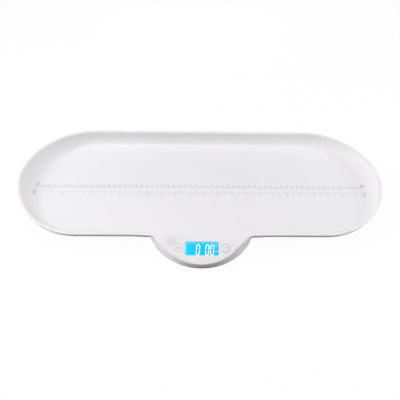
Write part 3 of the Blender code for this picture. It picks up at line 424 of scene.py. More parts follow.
# Tray: heights and widths of its walls, its lip and skirt, the nose and its panel, and how finely it is drawn
traySizes = {
    "depth": 0.237,
    "wall": 0.0022,
    "gap": 0.0003,  # between pieces that fit together
    "backRise": 0.024,
    "endRise": 0.023,
    "frontRise": 0.002,
    "riseStartShare": 0.55,  # of the way round the end, where the end wall is at its full height
    "backWallWidth": 0.015,
    "endWallWidth": 0.034,
    "frontWallWidth": 0.006,
    "noseWallWidth": 0.003,
    "wallSweep": math.radians(70),
    "blendShare": 0.08,
    "lipWidth": 0.006,
    "lipCrown": 0.0007,
    "lipBlend": 0.0022,
    "lipRamp": 0.03,
    "edgeRadius": 0.0012,
    "skirtDrop": 0.0065,
    "skirtDraft": 0.0004,
    "floorMargin": 0.003,
    "noseRadius": 0.0795,
    "noseSideAngle": math.radians(41.3),
    "noseFillet": 0.016,
    "panelTilt": math.radians(19.3),
    "bendRadius": 0.030,
    "steps": {
        "bend": 14, "end": 96, "nose": 28, "side": 6, "fillet": 10, "ramp": 8, "wall": 18, "blend": 6,
        "edge": 6,
    },
}
trayLow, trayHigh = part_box("tray")
halfLength, halfDepth = trayHigh.x, traySizes["depth"] / 2
centreY = trayHigh.y - halfDepth
floorHeight = trayHigh.z - traySizes["backRise"]
noseReach = centreY - trayLow.y
gap, panelTilt, bendRadius = traySizes["gap"], traySizes["panelTilt"], traySizes["bendRadius"]
bendBack = halfDepth - bendRadius * math.tan(panelTilt / 2)
bendFront = bendBack + bendRadius * math.sin(panelTilt)

# The nose panel's own frame: across, up the slope, outwards
panelTurn = Matrix.Rotation(panelTilt, 4, "X")
panelMatrix = Matrix.Translation((0, centreY - halfDepth, floorHeight)) @ panelTurn
panelInverse = panelMatrix.inverted()


def boxCentre(node):
    low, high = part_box(node)
    return (low + high) / 2


def onPanel(node):
    # the middle of a node in the panel's frame
    return panelInverse @ boxCentre(node)


def inPanel(mesh):
    mesh.transform(panelMatrix)
    return mesh


def noseDrop(y):
    # how far the floor has fallen at a place in front of the bend
    ahead = -y - bendBack
    if ahead <= 0:
        return 0.0
    if -y >= bendFront:
        return (-y - halfDepth) * math.tan(panelTilt)
    return bendRadius - math.sqrt(bendRadius**2 - ahead**2)


def straightStations(start, end, steps):
    # places between two stations, without the two
    found = []
    for t in (step / steps for step in range(1, steps)):
        found.append((start[0].lerp(end[0], t), start[1].lerp(end[1], t), start[2] * (1 - t) + end[2] * t, 0))
    return found


def bothHalves(half):
    # the right half's stations, and their mirror images back to the first
    flip = Vector((-1, 1))

    def mirrored(station):
        return [value * flip if isinstance(value, Vector) else value for value in station]

    return half + [mirrored(station) for station in half[-2:0:-1]]


def ringsOf(columns):
    # level rings from each station's column of (spot, level) pairs
    return [[(spot.x, spot.y + centreY, level) for spot, level in ring] for ring in zip(*columns)]


def trayStations():
    # the tray's edge all round, from the nose's tip: (point, outward direction, share of the front lip,
    # share of the way round the end)
    size, steps = traySizes, traySizes["steps"]
    ahead, side, fillet = -math.pi / 2, size["noseSideAngle"], size["noseFillet"]
    radius = size["noseRadius"]
    tip = arcPoints((0, radius - noseReach), radius, ahead, ahead + side, steps["nose"])
    half = [(point, away, 0, 0) for point, away in tip]
    last = tip[-1][0]
    along = Vector((math.cos(side), math.sin(side)))
    corner = last + along * (-halfDepth - last.y) / along.y
    turnCentre = corner + Vector((fillet * math.tan(side / 2), -fillet))
    turn = arcPoints(turnCentre, fillet, side + math.pi / 2, math.pi / 2, steps["fillet"])
    turn = [(point, -away, 0, 0) for point, away in turn]
    half += straightStations(half[-1], turn[0], steps["side"]) + turn
    lipStart = (Vector((turn[-1][0].x + size["lipRamp"], -halfDepth)), Vector((0, -1)), 1, 0)
    ramp = straightStations(turn[-1], lipStart, steps["ramp"])
    half += [(point, away, smoothShare(lip), 0) for point, away, lip, _ in ramp] + [lipStart]
    end = arcPoints((halfLength - halfDepth, 0), halfDepth, ahead, -ahead, steps["end"])
    half += [(point, away, 1, step / steps["end"]) for step, (point, away) in enumerate(end)]
    half.append((Vector((0, halfDepth)), Vector((0, 1)), 1, 1))
    return bothHalves(half)


def wallShape(lip, share):
    # (rise, width, crown) of the tray's wall at a station
    size = traySizes
    back, turned = smoothShare(2 * share - 1), smoothShare(share / size["riseStartShare"])
    rise = size["frontRise"] * lip + (size["endRise"] - size["frontRise"]) * turned
    rise += (size["backRise"] - size["endRise"]) * back
    width = size["noseWallWidth"] + (size["frontWallWidth"] - size["noseWallWidth"]) * lip
    width += (size["endWallWidth"] - size["frontWallWidth"]) * smoothShare(2 * share)
    width += (size["backWallWidth"] - size["endWallWidth"]) * back
    return rise, width, size["lipCrown"] * lip


def wallPoint(rise, width, crown, sweep):
    # a point on the hollow curve of the wall, from the floor (sweep 0) up to the lip
    full = traySizes["wallSweep"]
    across = 1 - math.sin(sweep) / math.sin(full)
    up = (1 - math.cos(sweep)) / (1 - math.cos(full))
    return Vector((traySizes["lipWidth"] + width * across, (rise - crown) * up))


def traySection(lip, share):
    # (inset from the edge, height above the floor), from the floor over the lip and back under it
    size, steps = traySizes, traySizes["steps"]
    rise, width, crown = wallShape(lip, share)
    lipWidth, wall, full, edge = size["lipWidth"], size["wall"], size["wallSweep"], size["edgeRadius"]
    farthest = lipWidth + width + size["floorMargin"]

    def onWall(sweep):
        return wallPoint(rise, width, crown, sweep)

    def lipLevel(inset):
        return rise - crown * (2 * inset / lipWidth - 1) ** 2

    sweeps = [full * (1 - size["blendShare"]) * step / steps["wall"] for step in range(steps["wall"] + 1)]
    top = [Vector((farthest, 0))] + [onWall(sweep) for sweep in sweeps]
    corner, start, blendEnd = Vector((lipWidth, rise - crown)), top[-1], lipWidth - size["lipBlend"]
    end = Vector((blendEnd, lipLevel(blendEnd)))
    for step in range(1, steps["blend"] + 1):
        t = step / steps["blend"]
        top.append(start * (1 - t) ** 2 + corner * 2 * t * (1 - t) + end * t**2)
    crest = (end.x + edge) / 2
    top.append(Vector((crest, lipLevel(crest))))
    top += [Vector((inset, lipLevel(edge) - down)) for inset, down in roundedEdge(edge, steps["edge"])]
    foot, nick, draft, lipUnder = rise - size["skirtDrop"], edge / 4, size["skirtDraft"], rise - crown - wall
    inner = draft + wall
    top += [Vector(point) for point in ((draft, foot + nick), (draft + nick, foot))]
    under = [Vector(point) for point in ((inner - nick, foot), (inner, foot + nick), (inner, lipUnder))]
    for sweep in [full] + sweeps[::-1]:
        ahead = onWall(sweep + full / 100) - onWall(sweep - full / 100)
        ahead.normalize()
        out = onWall(sweep) + wall * Vector((-ahead.y, ahead.x))
        under.append(Vector((max(out.x, inner + nick), min(out.y, lipUnder))))
    return top + under + [Vector((farthest, -wall))]


def makeTrayBody():
    columns = []
    for point, out, lip, share in trayStations():
        columns.append([(point - out * spot.x, floorHeight + spot.y) for spot in traySection(lip, share)])
    bm = bmesh.new()
    loftBetween(bm, ringsOf(columns))
    bendSteps = traySizes["steps"]["bend"]
    for step in range(bendSteps + 1):
        cutAt = (0, centreY - bendBack - bendRadius * math.sin(panelTilt * step / bendSteps), 0)
        geometry = list(bm.verts) + list(bm.edges) + list(bm.faces)
        bmesh.ops.bisect_plane(bm, geom=geometry, dist=1e-6, plane_co=cutAt, plane_no=(0, 1, 0))
    for vert in bm.verts:
        vert.co.z -= noseDrop(vert.co.y - centreY)
    bmesh.ops.remove_doubles(bm, verts=bm.verts, dist=2e-6)
    return meshFromBm(bm, "trayShell")


# Window and button holes, posts for the board and bosses for the screws
windowSizes = {"width": 0.0544, "height": 0.0222, "corner": 0.0022, "flare": 0.0003}
buttonSizes = {"radius": 0.0067, "groove": 0.0005, "steps": 72}
postSizes = {
    "overrun": 0.004,  # how far a cut goes past the face that it opens
    "bossRadius": 0.0040,
    "pilotRadius": 0.0017,
    "pilotDepth": 0.010,
    "boardPostRadius": 0.0024,
    "boardPostHole": 0.0012,
    "boardPostUp": (0.0015, 0.0015, -0.0335, -0.0335),
    "boardPostFoot": -0.0086,
    "boardHoleTop": -0.0055,
    "sides": {"boss": 32, "pilot": 24, "boardPost": 24, "boardHole": 20},
}
buttonNames = ("upper_left", "lower_left", "right")
footNames = ("front_left", "front_right", "rear_left", "rear_right")
housingScrews = [f"housing_screw_{number}" for number in range(1, 7)]
boardScrews = [f"board_screw_{number}" for number in range(1, 5)]
screwLow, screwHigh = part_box(housingScrews[0])
screwPlaces = [boxCentre(name).to_2d() for name in housingScrews]
boardScrewPlaces = [Vector((onPanel(name).x, up)) for name, up in zip(boardScrews, postSizes["boardPostUp"])]


def flaredCut(outlines, low, over):
    # a cutter for a hole with a soft upper edge, from its plain outline and the wider one
    plain, wide = outlines
    return inPanel(slabMesh("cut", [(wide, over), (wide, 0), (plain, -windowSizes["flare"]), (plain, low)]))


def makeTray():
    window, post, sides, wall = windowSizes, postSizes, postSizes["sides"], traySizes["wall"]
    middle, over, grown = onPanel("display_lens").to_2d(), post["overrun"], (0, window["flare"])
    low, hole = -wall - over, buttonSizes["radius"] + buttonSizes["groove"]
    width, height, corner = window["width"], window["height"], window["corner"]
    outlines = [
        roundedRectangle(width + 2 * more, height + 2 * more, corner + more, middle) for more in grown
    ]
    cuts = [flaredCut(outlines, low, over)]
    for place in buttonNames:
        at = onPanel(f"switch_plunger_{place}").to_2d()
        cuts.append(flaredCut([circleOutline(hole + more, at) for more in grown], low, over))
    bossFoot = baseSizes["postTop"] + gap
    posts = drumMeshes(post["bossRadius"], bossFoot, floorHeight - wall / 2, screwPlaces, sides["boss"])
    pilotLow, pilotHigh = baseSizes["postTop"] - over, bossFoot + post["pilotDepth"]
    pilots = drumMeshes(post["pilotRadius"], pilotLow, pilotHigh, screwPlaces, sides["pilot"])
    foot, holeTop = post["boardPostFoot"], post["boardHoleTop"]
    for at in boardScrewPlaces:
        posts.append(inPanel(drumMesh(post["boardPostRadius"], foot, -wall / 2, at, sides["boardPost"])))
        pilots.append(inPanel(drumMesh(post["boardPostHole"], foot - over, holeTop, at, sides["boardHole"])))
    mesh = carved(makeTrayBody(), [("UNION", posts), ("DIFFERENCE", cuts + pilots)])
    return dressed("trayShell", mesh, bodyName, "trayGloss", ["tray"], 28)


# The base housing: its walls, the lobe under the nose, the feet's wells, the screw posts and the battery bay
baseSizes = {
    "wall": 0.0022,
    "clearance": 0.004,
    "width": 0.340,
    "depth": 0.180,
    "corner": 0.030,
    "edge": 0.0018,
    "lobeRadius": 0.0962,
    "lobeCentre": 0.0651,
    "lobeFillet": 0.012,
    "seatStep": 0.008,
    "seatStepRun": 0.0006,
    "floorMargin": 0.003,
    "turretWall": 0.0025,
    "wellFlare": 0.0006,
    "postRadius": 0.0046,
    "postTop": 0.020,
    "shankRadius": 0.0017,
    "headLevel": 0.0125,
    "bayWall": 0.0018,
    "ledge": 0.0022,
    "ledgeMargin": 0.003,
    "leadHole": 0.0018,
    "leadInset": 0.00225,
    "finger": 0.006,
    "hingeHole": 0.00085,
    "hingeStub": 0.0016,
    "steps": {"lobe": 72, "corner": 14, "edge": 5},
    "sides": {"well": 64, "post": 40, "head": 32, "hole": 24},
}
doorLow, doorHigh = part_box("battery_door")
doorSide = doorHigh.x - baseSizes["hingeStub"]
hingeHalf = (doorHigh.z - doorLow.z) / 2
hingeMiddle = Vector((0, doorLow.y + hingeHalf, doorLow.z + hingeHalf))


def noseEdgeReach(angle):
    # distance from the lobe's centre to the nose's edge in a direction
    radius, side = traySizes["noseRadius"], traySizes["noseSideAngle"]
    way = Vector((math.cos(angle), math.sin(angle)))
    start, noseCentre = Vector((0, -baseSizes["lobeCentre"])), Vector((0, radius - noseReach))
    toTip = start - noseCentre
    along = toTip.dot(way)
    reach = -along + math.sqrt(along**2 - toTip.length_squared + radius**2)
    hit = start + way * reach
    if math.atan2(hit.x, noseCentre.y - hit.y) <= side:
        return reach
    out = Vector((math.sin(side), -math.cos(side)))
    return (noseCentre + out * radius - start).dot(out) / way.dot(out)


def baseStations():
    # the base's edge all round: (bottom point, top point, outward direction, height of the top)
    size, steps = baseSizes, baseSizes["steps"]
    lobe, down, fillet = size["lobeRadius"], size["lobeCentre"], size["lobeFillet"]
    centre = Vector((0, -down))
    seat = floorHeight - traySizes["wall"] - gap
    filletY = -size["depth"] / 2 - fillet
    filletX = math.sqrt((lobe + fillet) ** 2 - (filletY + down) ** 2)
    lobeEnd = math.atan2(filletY + down, filletX)
    stepY = -halfDepth + size["seatStep"]
    stepStart, stepEnd = (math.asin((stepY + run + down) / lobe) for run in (0, size["seatStepRun"]))
    ahead = -math.pi / 2
    angles = [ahead + (stepStart - ahead) * step / steps["lobe"] for step in range(steps["lobe"] + 1)]
    half = []
    for angle in angles + [stepEnd, (stepEnd + lobeEnd) / 2, lobeEnd]:
        out = Vector((math.cos(angle), math.sin(angle)))
        low = centre + out * lobe
        edge = noseEdgeReach(angle) - traySizes["skirtDraft"]
        followsNose = low.y < -halfDepth or edge < lobe
        high = centre + out * (edge if followsNose else lobe)
        underSkirt = floorHeight - noseDrop(high.y) - traySizes["skirtDrop"] - gap
        half.append((low, high, out, underSkirt if angle <= stepStart else seat))
    turn = arcPoints((filletX, filletY), fillet, lobeEnd + math.pi, math.pi / 2, steps["corner"])
    half += [(point, point, -away, seat) for point, away in turn[1:]]
    cornerX, cornerY = size["width"] / 2 - size["corner"], size["depth"] / 2 - size["corner"]
    for spot, start in (((cornerX, -cornerY), ahead), ((cornerX, cornerY), 0)):
        corner = arcPoints(spot, size["corner"], start, start + math.pi / 2, steps["corner"])
        half += [(point, point, away, seat) for point, away in corner]
    back = Vector((0, size["depth"] / 2))
    half.append((back, back, Vector((0, 1)), seat))
    return bothHalves(half)


def makeBaseBody():
    size = baseSizes
    wall, edge, floor, margin = size["wall"], size["edge"], size["clearance"], size["floorMargin"]
    nick = edge / 6
    columns = []
    for low, high, out, top in baseStations():
        levels = [(low, edge + margin, floor)]
        levels += [(low, inset, floor + up) for inset, up in roundedEdge(edge, size["steps"]["edge"])]
        levels += [(high, 0, top - nick), (high, nick, top)]
        levels += [(high, wall - nick, top), (high, wall, top - nick)]
        levels += [(low, wall, floor + wall + edge), (low, wall + edge, floor + wall)]
        levels.append((low, wall + edge + margin, floor + wall))
        columns.append([(point - out * inset, level) for point, inset, level in levels])
    return loftedMesh("baseShell", ringsOf(columns))


def makeBase():
    size, sides, over = baseSizes, baseSizes["sides"], postSizes["overrun"]
    floor, margin, postTop = size["clearance"], size["ledgeMargin"], size["postTop"]
    foot, below = floor + size["wall"] / 2, floor - over

    # wells for the feet, each with a turret over it and a hole for its lead
    cups = [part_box(f"foot_cup_{place}") for place in footNames]
    cells = [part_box(f"load_cell_{place}") for place in footNames]
    wells = [((low + high) / 2).to_2d() for low, high in cups]
    wellRoof, wellRadius = cells[0][1].z + gap, (cups[0][1].x - cups[0][0].x) / 2 + gap
    turretTop, flare = wellRoof + size["turretWall"], size["wellFlare"]
    leadHoles = []
    for (cellLow, cellHigh), at in zip(cells, wells):
        inner = cellHigh.x if at.x < 0 else cellLow.x
        spot = (inner + math.copysign(size["leadInset"], at.x), at.y)
        leadHoles.append(drumMesh(size["leadHole"], cellHigh.z, turretTop + over, spot, sides["hole"]))

    # the battery bay over its cells and springs, and the ledge round the door
    held = ("battery_1", "battery_3", "battery_spring_1", "battery_spring_2")
    boxes = [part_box(node) for node in (*held, "contact_plate_1", "contact_plate_2")]
    bayLow = Vector([min(low[i] for low, _ in boxes) for i in range(3)])
    bayHigh = Vector([max(high[i] for _, high in boxes) for i in range(3)])

    def bayBox(away, bottom):
        return boxMesh((bayLow.x - away, bayLow.y - away, bottom), [level + away for level in bayHigh])

    def doorBox(away, bottom, top):
        corner = (-doorSide - away, doorLow.y - away, bottom)
        return boxMesh(corner, (doorSide + away, doorHigh.y + away, top))

    headRadius, screwFoot = (screwHigh.x - screwLow.x) / 2 + gap, size["headLevel"]
    hinge = drumMesh(size["hingeHole"], -doorHigh.x - gap, doorHigh.x + gap, (0, 0), sides["hole"])
    finger = size["finger"]
    notch = boxMesh((-finger, doorHigh.y - gap, below), (finger, doorHigh.y + finger, foot))
    turrets = drumMeshes(wellRadius + size["turretWall"], foot, turretTop, wells, sides["well"])
    posts = drumMeshes(size["postRadius"], foot, postTop, screwPlaces, sides["post"])
    hollows = drumMeshes(wellRadius, below, wellRoof, wells, sides["well"])
    mouths = drumMeshes(wellRadius, floor - flare / 2, floor + 2 * flare, wells, sides["well"], flare)
    heads = drumMeshes(headRadius, below, screwFoot, screwPlaces, sides["head"])
    shanks = drumMeshes(size["shankRadius"], screwFoot - over / 2, postTop + over, screwPlaces, sides["hole"])
    mesh = carved(makeBaseBody(), [
        ("UNION", turrets + posts),
        ("UNION", [bayBox(gap + size["bayWall"], foot)]),
        ("UNION", [doorBox(margin, foot, doorHigh.z + gap + size["ledge"])]),
        ("DIFFERENCE", hollows + heads + [doorBox(gap, below, doorHigh.z + gap)]),
        ("DIFFERENCE", mouths + shanks + leadHoles + [bayBox(gap, below)]),
        ("DIFFERENCE", [laidOver(hinge, hingeMiddle), notch]),
    ])
    return dressed("baseShell", mesh, bodyName, "baseSatin", ["base_shell"], 28)


print("tray")
tray = makeTray()
print("base")
makeBase()


# Geometry trees: what repeats or follows a path
def newGeometryTree(name, inputs):
    inputs = [*inputs, ("Material", "Material", None)]
    return newTree(name, "GeometryNodeTree", inputs, [("Geometry", "Geometry")])


def grownMesh(name, tree, values):
    # runs a geometry tree on an empty object and returns the plain mesh
    obj = addObject(name, bpy.data.meshes.new(name))
    modifier = obj.modifiers.new(tree.name, "NODES")
    modifier.node_group = tree
    for item in tree.interface.items_tree:
        if item.in_out == "INPUT":
            modifier[item.identifier] = values[item.name]
    obj.update_tag()
    return bakedMesh(obj)


def finishTree(tree, given, result, geometry):
    whole = nodeOut(tree, "GeometryNodeRealizeInstances", 0, {0: geometry})
    inputs = {"Geometry": whole, "Material": given["Material"]}
    wire(tree, nodeOut(tree, "GeometryNodeSetMaterial", 0, inputs), result[0])
    return tree


def vectorNode(tree, x=0.0, y=0.0, z=0.0):
    return nodeOut(tree, "ShaderNodeCombineXYZ", 0, {0: x, 1: y, 2: z})


def joinedParts(tree, *parts):
    join = tree.nodes.new("GeometryNodeJoinGeometry")
    for part in parts:
        wire(tree, part, join.inputs[0])
    return join.outputs[0]


def flatLetters(tree, words, size, boldness):
    # flat lettering whose outlines are pushed outwards by the boldness
    inputs = {"String": words, "Size": size}
    letters = nodeOut(tree, "GeometryNodeStringToCurves", 0, inputs, align_x="CENTER", align_y="MIDDLE")
    whole = nodeOut(tree, "GeometryNodeRealizeInstances", 0, {0: letters})
    plain = nodeOut(tree, "GeometryNodeResampleCurve", 0, {"Curve": whole}, mode="EVALUATED")
    tangent = nodeOut(tree, "GeometryNodeInputTangent", 0)
    along = addNode(tree, "ShaderNodeSeparateXYZ", {0: tangent}).outputs
    outwards = vectorNode(tree, along["Y"], mathNode(tree, "MULTIPLY", along["X"], -1.0))
    push = nodeOut(tree, "ShaderNodeVectorMath", 0, {0: outwards, "Scale": boldness}, operation="SCALE")
    grown = nodeOut(tree, "GeometryNodeSetPosition", 0, {"Geometry": plain, "Offset": push})
    return nodeOut(tree, "GeometryNodeFillCurve", "Mesh", {"Curve": grown})


def thickened(tree, flat, height):
    # a closed print from flat faces: the raised copy with its sides, and the underside
    inputs = {"Mesh": flat, "Offset Scale": height, "Individual": False}
    raised = nodeOut(tree, "GeometryNodeExtrudeMesh", "Mesh", inputs, mode="FACES")
    both = joinedParts(tree, raised, nodeOut(tree, "GeometryNodeFlipFaces", 0, {0: flat}))
    return nodeOut(tree, "GeometryNodeMergeByDistance", 0, {"Geometry": both, "Distance": 1e-6})


# Printed ink: colour, where it is thinner, roughness
inkGrain, inkBump = (4000, 300, 0.5), (0.1, 0.00005)
inkLooks = {
    "rulerInk": ((0.20, 0.20, 0.215), (0.29, 0.29, 0.305), 0.55),
    "legendInk": ((0.26, 0.26, 0.28), (0.34, 0.34, 0.36), 0.5),
}


def makeInk(name, colour, worn, roughness):
    tree, skin, place = newMaterial(name, {"Roughness": roughness})
    grain = grainOf(tree, place, *inkGrain)
    paint(tree, skin, grain["Unevenness"], colour, worn)
    addBump(tree, skin, grain["Height"], *inkBump)


for finishName, finishLook in inkLooks.items():
    makeInk(finishName, *finishLook)

# Ruler: levels are up the floor from the tray's middle, and counts are whole numbers
rulerSizes = {
    "sunk": 0.00002,
    "printHeight": 0.00006,
    "letterSize": 0.0050,
    "lineSteps": 400,
    "unitPlaces": (
        ("cm", -0.2994, -0.0092, 72), ("inch", -0.2985, -0.0300, 96),
        ("cm", 0.3021, -0.0097, -80), ("inch", 0.2985, -0.0313, -90),
    ),
    "scales": {
        "centimetres": {
            "Zero": -0.3005, "Line Start": -0.3040, "Line End": 0.3045, "Line Level": -0.0140,
            "Line Width": 0.00028, "Tick Pitch": 0.001, "Tick Count": 601, "Tick Width": 0.00012,
            "Short Tick": 0.0012, "Middle Tick": 0.0016, "Long Tick": 0.0022, "Ticks To Middle": 5,
            "Ticks To Long": 10, "Tick Side": -1.0, "Number Count": 61, "Number Size": 0.0028,
            "Number Level": -0.0100, "Number Pitch": 0.01, "Half Count": 0, "Half Size": 0.002,
            "Boldness": 0.00008,
        },
        "inches": {
            "Zero": -0.3010, "Line Start": -0.3015, "Line End": 0.3020, "Line Level": -0.0267,
            "Line Width": 0.00010, "Tick Pitch": 0.00254, "Tick Count": 237, "Tick Width": 0.00014,
            "Short Tick": 0.0009, "Middle Tick": 0.0018, "Long Tick": 0.0030, "Ticks To Middle": 5,
            "Ticks To Long": 10, "Tick Side": 1.0, "Number Count": 24, "Number Size": 0.0031,
            "Number Level": -0.0308, "Number Pitch": 0.0254, "Half Count": 23, "Half Size": 0.0020,
            "Boldness": 0.00010,
        },
    },
}


def makeRulerTree():
    # one printed scale: a base line, ticks of three lengths and a number at each main tick
    sample = {**rulerSizes["scales"]["centimetres"], "Print Height": rulerSizes["printHeight"]}
    kinds = {int: "Int", float: "Float"}
    inputs = [(label, kinds[type(value)], value) for label, value in sample.items()]
    tree, given, result = newGeometryTree("rulerScale", inputs)

    def calc(operation, first, second):
        first, second = (given[value] if isinstance(value, str) else value for value in (first, second))
        return mathNode(tree, operation, first, second)

    def moved(geometry, x, y):
        inputs = {"Geometry": geometry, "Translation": vectorNode(tree, x, y)}
        return nodeOut(tree, "GeometryNodeTransform", 0, inputs)

    def pointRow(count, start, level, pitch):
        inputs = {"Count": given[count], "Start Location": vectorNode(tree, start, given[level])}
        inputs["Offset"] = vectorNode(tree, given[pitch])
        return nodeOut(tree, "GeometryNodeMeshLine", 0, inputs, mode="OFFSET")

    def every(label):
        # 1 where the index is a whole number of steps, otherwise 0
        return calc("LESS_THAN", calc("MODULO", index, label), 0.5)

    length = calc("SUBTRACT", "Line End", "Line Start")
    inputs = {"Size X": length, "Size Y": given["Line Width"]}
    inputs.update({"Vertices X": rulerSizes["lineSteps"] + 1, "Vertices Y": 2})
    line = nodeOut(tree, "GeometryNodeMeshGrid", "Mesh", inputs)
    middle = calc("MULTIPLY", calc("ADD", "Line End", "Line Start"), 0.5)
    line = moved(line, middle, given["Line Level"])

    inputs = {"Size X": 1.0, "Size Y": 1.0, "Vertices X": 2, "Vertices Y": 3}
    tick = nodeOut(tree, "GeometryNodeMeshGrid", "Mesh", inputs)
    hung = moved(tick, 0.0, calc("MULTIPLY", "Tick Side", 0.5))
    index = nodeOut(tree, "GeometryNodeInputIndex", 0)
    atMiddle, atLong = every("Ticks To Middle"), every("Ticks To Long")
    moreMiddle = calc("MULTIPLY", atMiddle, calc("SUBTRACT", "Middle Tick", "Short Tick"))
    moreLong = calc("MULTIPLY", atLong, calc("SUBTRACT", "Long Tick", "Middle Tick"))
    tickLength = calc("ADD", "Short Tick", calc("ADD", moreMiddle, moreLong))
    tickWidth = calc("MULTIPLY", "Tick Width", calc("ADD", atMiddle, 1.0))
    inputs = {"Points": pointRow("Tick Count", given["Zero"], "Line Level", "Tick Pitch"), "Instance": hung}
    inputs["Scale"] = vectorNode(tree, tickWidth, tickLength, 1.0)
    ticks = nodeOut(tree, "GeometryNodeInstanceOnPoints", 0, inputs)

    loopIn, loopOut = (tree.nodes.new(f"GeometryNodeRepeat{way}") for way in ("Input", "Output"))
    loopIn.pair_with_output(loopOut)
    wire(tree, given["Number Count"], loopIn.inputs["Iterations"])
    step = loopIn.outputs["Iteration"]
    words = nodeOut(tree, "FunctionNodeValueToString", 0, {"Value": step}, data_type="INT")
    across = calc("ADD", "Zero", calc("MULTIPLY", step, "Number Pitch"))
    digits = flatLetters(tree, words, given["Number Size"], given["Boldness"])
    number = moved(digits, across, given["Number Level"])
    wire(tree, joinedParts(tree, loopIn.outputs["Geometry"], number), loopOut.inputs["Geometry"])

    halfStart = calc("ADD", "Zero", calc("MULTIPLY", "Number Pitch", 0.5))
    inputs = {"Points": pointRow("Half Count", halfStart, "Number Level", "Number Pitch")}
    inputs["Instance"] = flatLetters(tree, ".5", given["Half Size"], given["Boldness"])
    halves = nodeOut(tree, "GeometryNodeInstanceOnPoints", 0, inputs)

    marks = joinedParts(tree, line, ticks, halves, loopOut.outputs["Geometry"])
    flat = nodeOut(tree, "GeometryNodeRealizeInstances", 0, {0: marks})
    return finishTree(tree, given, result, thickened(tree, flat, given["Print Height"]))


def textMesh(words, size, at, height, turn=0.0, spacing=1.0):
    # flat lettering with a little thickness, lying in the XY plane
    curve = bpy.data.curves.new("letters", "FONT")
    curve.body, curve.size, curve.space_character = words, size, spacing
    curve.align_x, curve.align_y = "CENTER", "CENTER"
    curve.extrude, curve.resolution_u = height / 2, 4
    mesh = bakedMesh(addObject("letters", curve))
    mesh.transform(Matrix.Translation((*at, 0)) @ Matrix.Rotation(math.radians(turn), 4, "Z"))
    bm = bmesh.new()
    bm.from_mesh(mesh)
    bmesh.ops.remove_doubles(bm, verts=bm.verts, dist=1e-6)
    bmesh.ops.translate(bm, verts=bm.verts, vec=(0, 0, height / 2))
    return meshFromBm(bm, "letters", outwards=False)


def makeRuler(trayObject):
    size, tree = rulerSizes, makeRulerTree()
    meshes = []
    for name, values in size["scales"].items():
        given = {**values, "Print Height": size["printHeight"], "Material": finishes["rulerInk"]}
        meshes.append(grownMesh(name, tree, given))
    for words, across, along, turn in size["unitPlaces"]:
        meshes.append(textMesh(words, size["letterSize"], (across, along), size["printHeight"], turn))
    mesh = joinedMesh("rulerPrint", meshes)
    surface = BVHTree.FromObject(trayObject, bpy.context.evaluated_depsgraph_get())
    for vert in mesh.vertices:
        y = vert.co.y + centreY
        hit = surface.ray_cast(Vector((vert.co.x, y, trayHigh.z * 2)), Vector((0, 0, -1)))[0]
        vert.co = (vert.co.x, y, hit.z + vert.co.z - size["sunk"])
    dressed("rulerPrint", mesh, bodyName, "rulerInk", sharpAngle=None)


print("ruler")
makeRuler(tray)


# Window lens, display and its digits
displaySizes = {
    "lensThickness": 0.0016,
    "lensBevel": 0.0003,
    "lensCorner": 0.0019,
    "glassHalf": 0.001,
    "digitHeight": 0.0172,
    "digitWidth": 0.0063,
    "stroke": 0.0014,
    "strokeGap": 0.00035,
    "slant": 0.072,
    "digitFoot": -0.0318,
    "digitPlaces": (-0.0063, 0.0088, 0.0168),
    "unitPlaces": (("lb", 0.0235, -0.0164), ("kg", 0.0235, -0.0254)),
    "unitSize": 0.0030,
    "dotPlaces": ((-0.0021, -0.0262), (-0.0018, -0.0192)),
    "dotRadius": 0.0004,
    "dotSteps": 16,
    "lift": 0.00004,
    "height": 0.00006,
    "blue": (0.006, 0.60, 0.99),
    "cloud": (0.01, 0.60, 1.0),
    "cloudShare": 0.12,
    # away from plain blue: the axis, where it starts and is full, how much, and the colour
    "blueTurnsAndPaintedShadow": (
        ("X", -0.021, -0.002, 1.0, (0.0, 0.52, 0.95)),
        ("X", -0.0225, -0.0262, 1.0, (0.10, 0.71, 1.0)),
        ("Y", 0.0064, 0.0086, 0.6, (0.14, 0.74, 1.0)),
        # painted shadow: the window's far wall darkening the top strip of the display
        ("Y", 0.0094, 0.0108, 0.8, (0.20, 0.44, 0.66)),
    ),
}
displayLooks = {
    "displayBlue": {
        "shader": {"Roughness": 0.25, "Emission Strength": 1.0, "Specular IOR Level": 0.0},
        "grain": (300, 90, 0.8), "ground": ((0.004, 0.03, 0.06), (0.004, 0.035, 0.07)),
    },
    "glow": {
        "shader": {"Roughness": 0.4, "Emission Strength": 1.0, "Specular IOR Level": 0.0},
        "grain": (900, 200, 0.5), "ground": ((0.3, 0.32, 0.33), (0.26, 0.28, 0.3)),
    },
    "lensClear": {
        "shader": {"Roughness": 0.04, "Transmission Weight": 1.0, "IOR": 1.1, "Specular IOR Level": 0.1},
        "dust": (1500, 0.05), "colours": ((0.99, 0.995, 1.0), (0.93, 0.94, 0.95)), "roughness": (0.03, 0.3),
    },
}
# the two glows, each with its shade
glowColours = {
    "digitGlow": ((0.80, 0.98, 0.95), (0.74, 0.95, 0.93)),
    "faintGlow": ((0.08, 0.66, 1.0), (0.10, 0.70, 1.0)),
}


def slopedPlace(tree, place, middle):
    # coordinates that lie along the nose panel
    inputs = {"Vector": place, "Location": middle, "Rotation": (panelTilt, 0, 0)}
    return nodeOut(tree, "ShaderNodeMapping", 0, inputs, vector_type="TEXTURE")


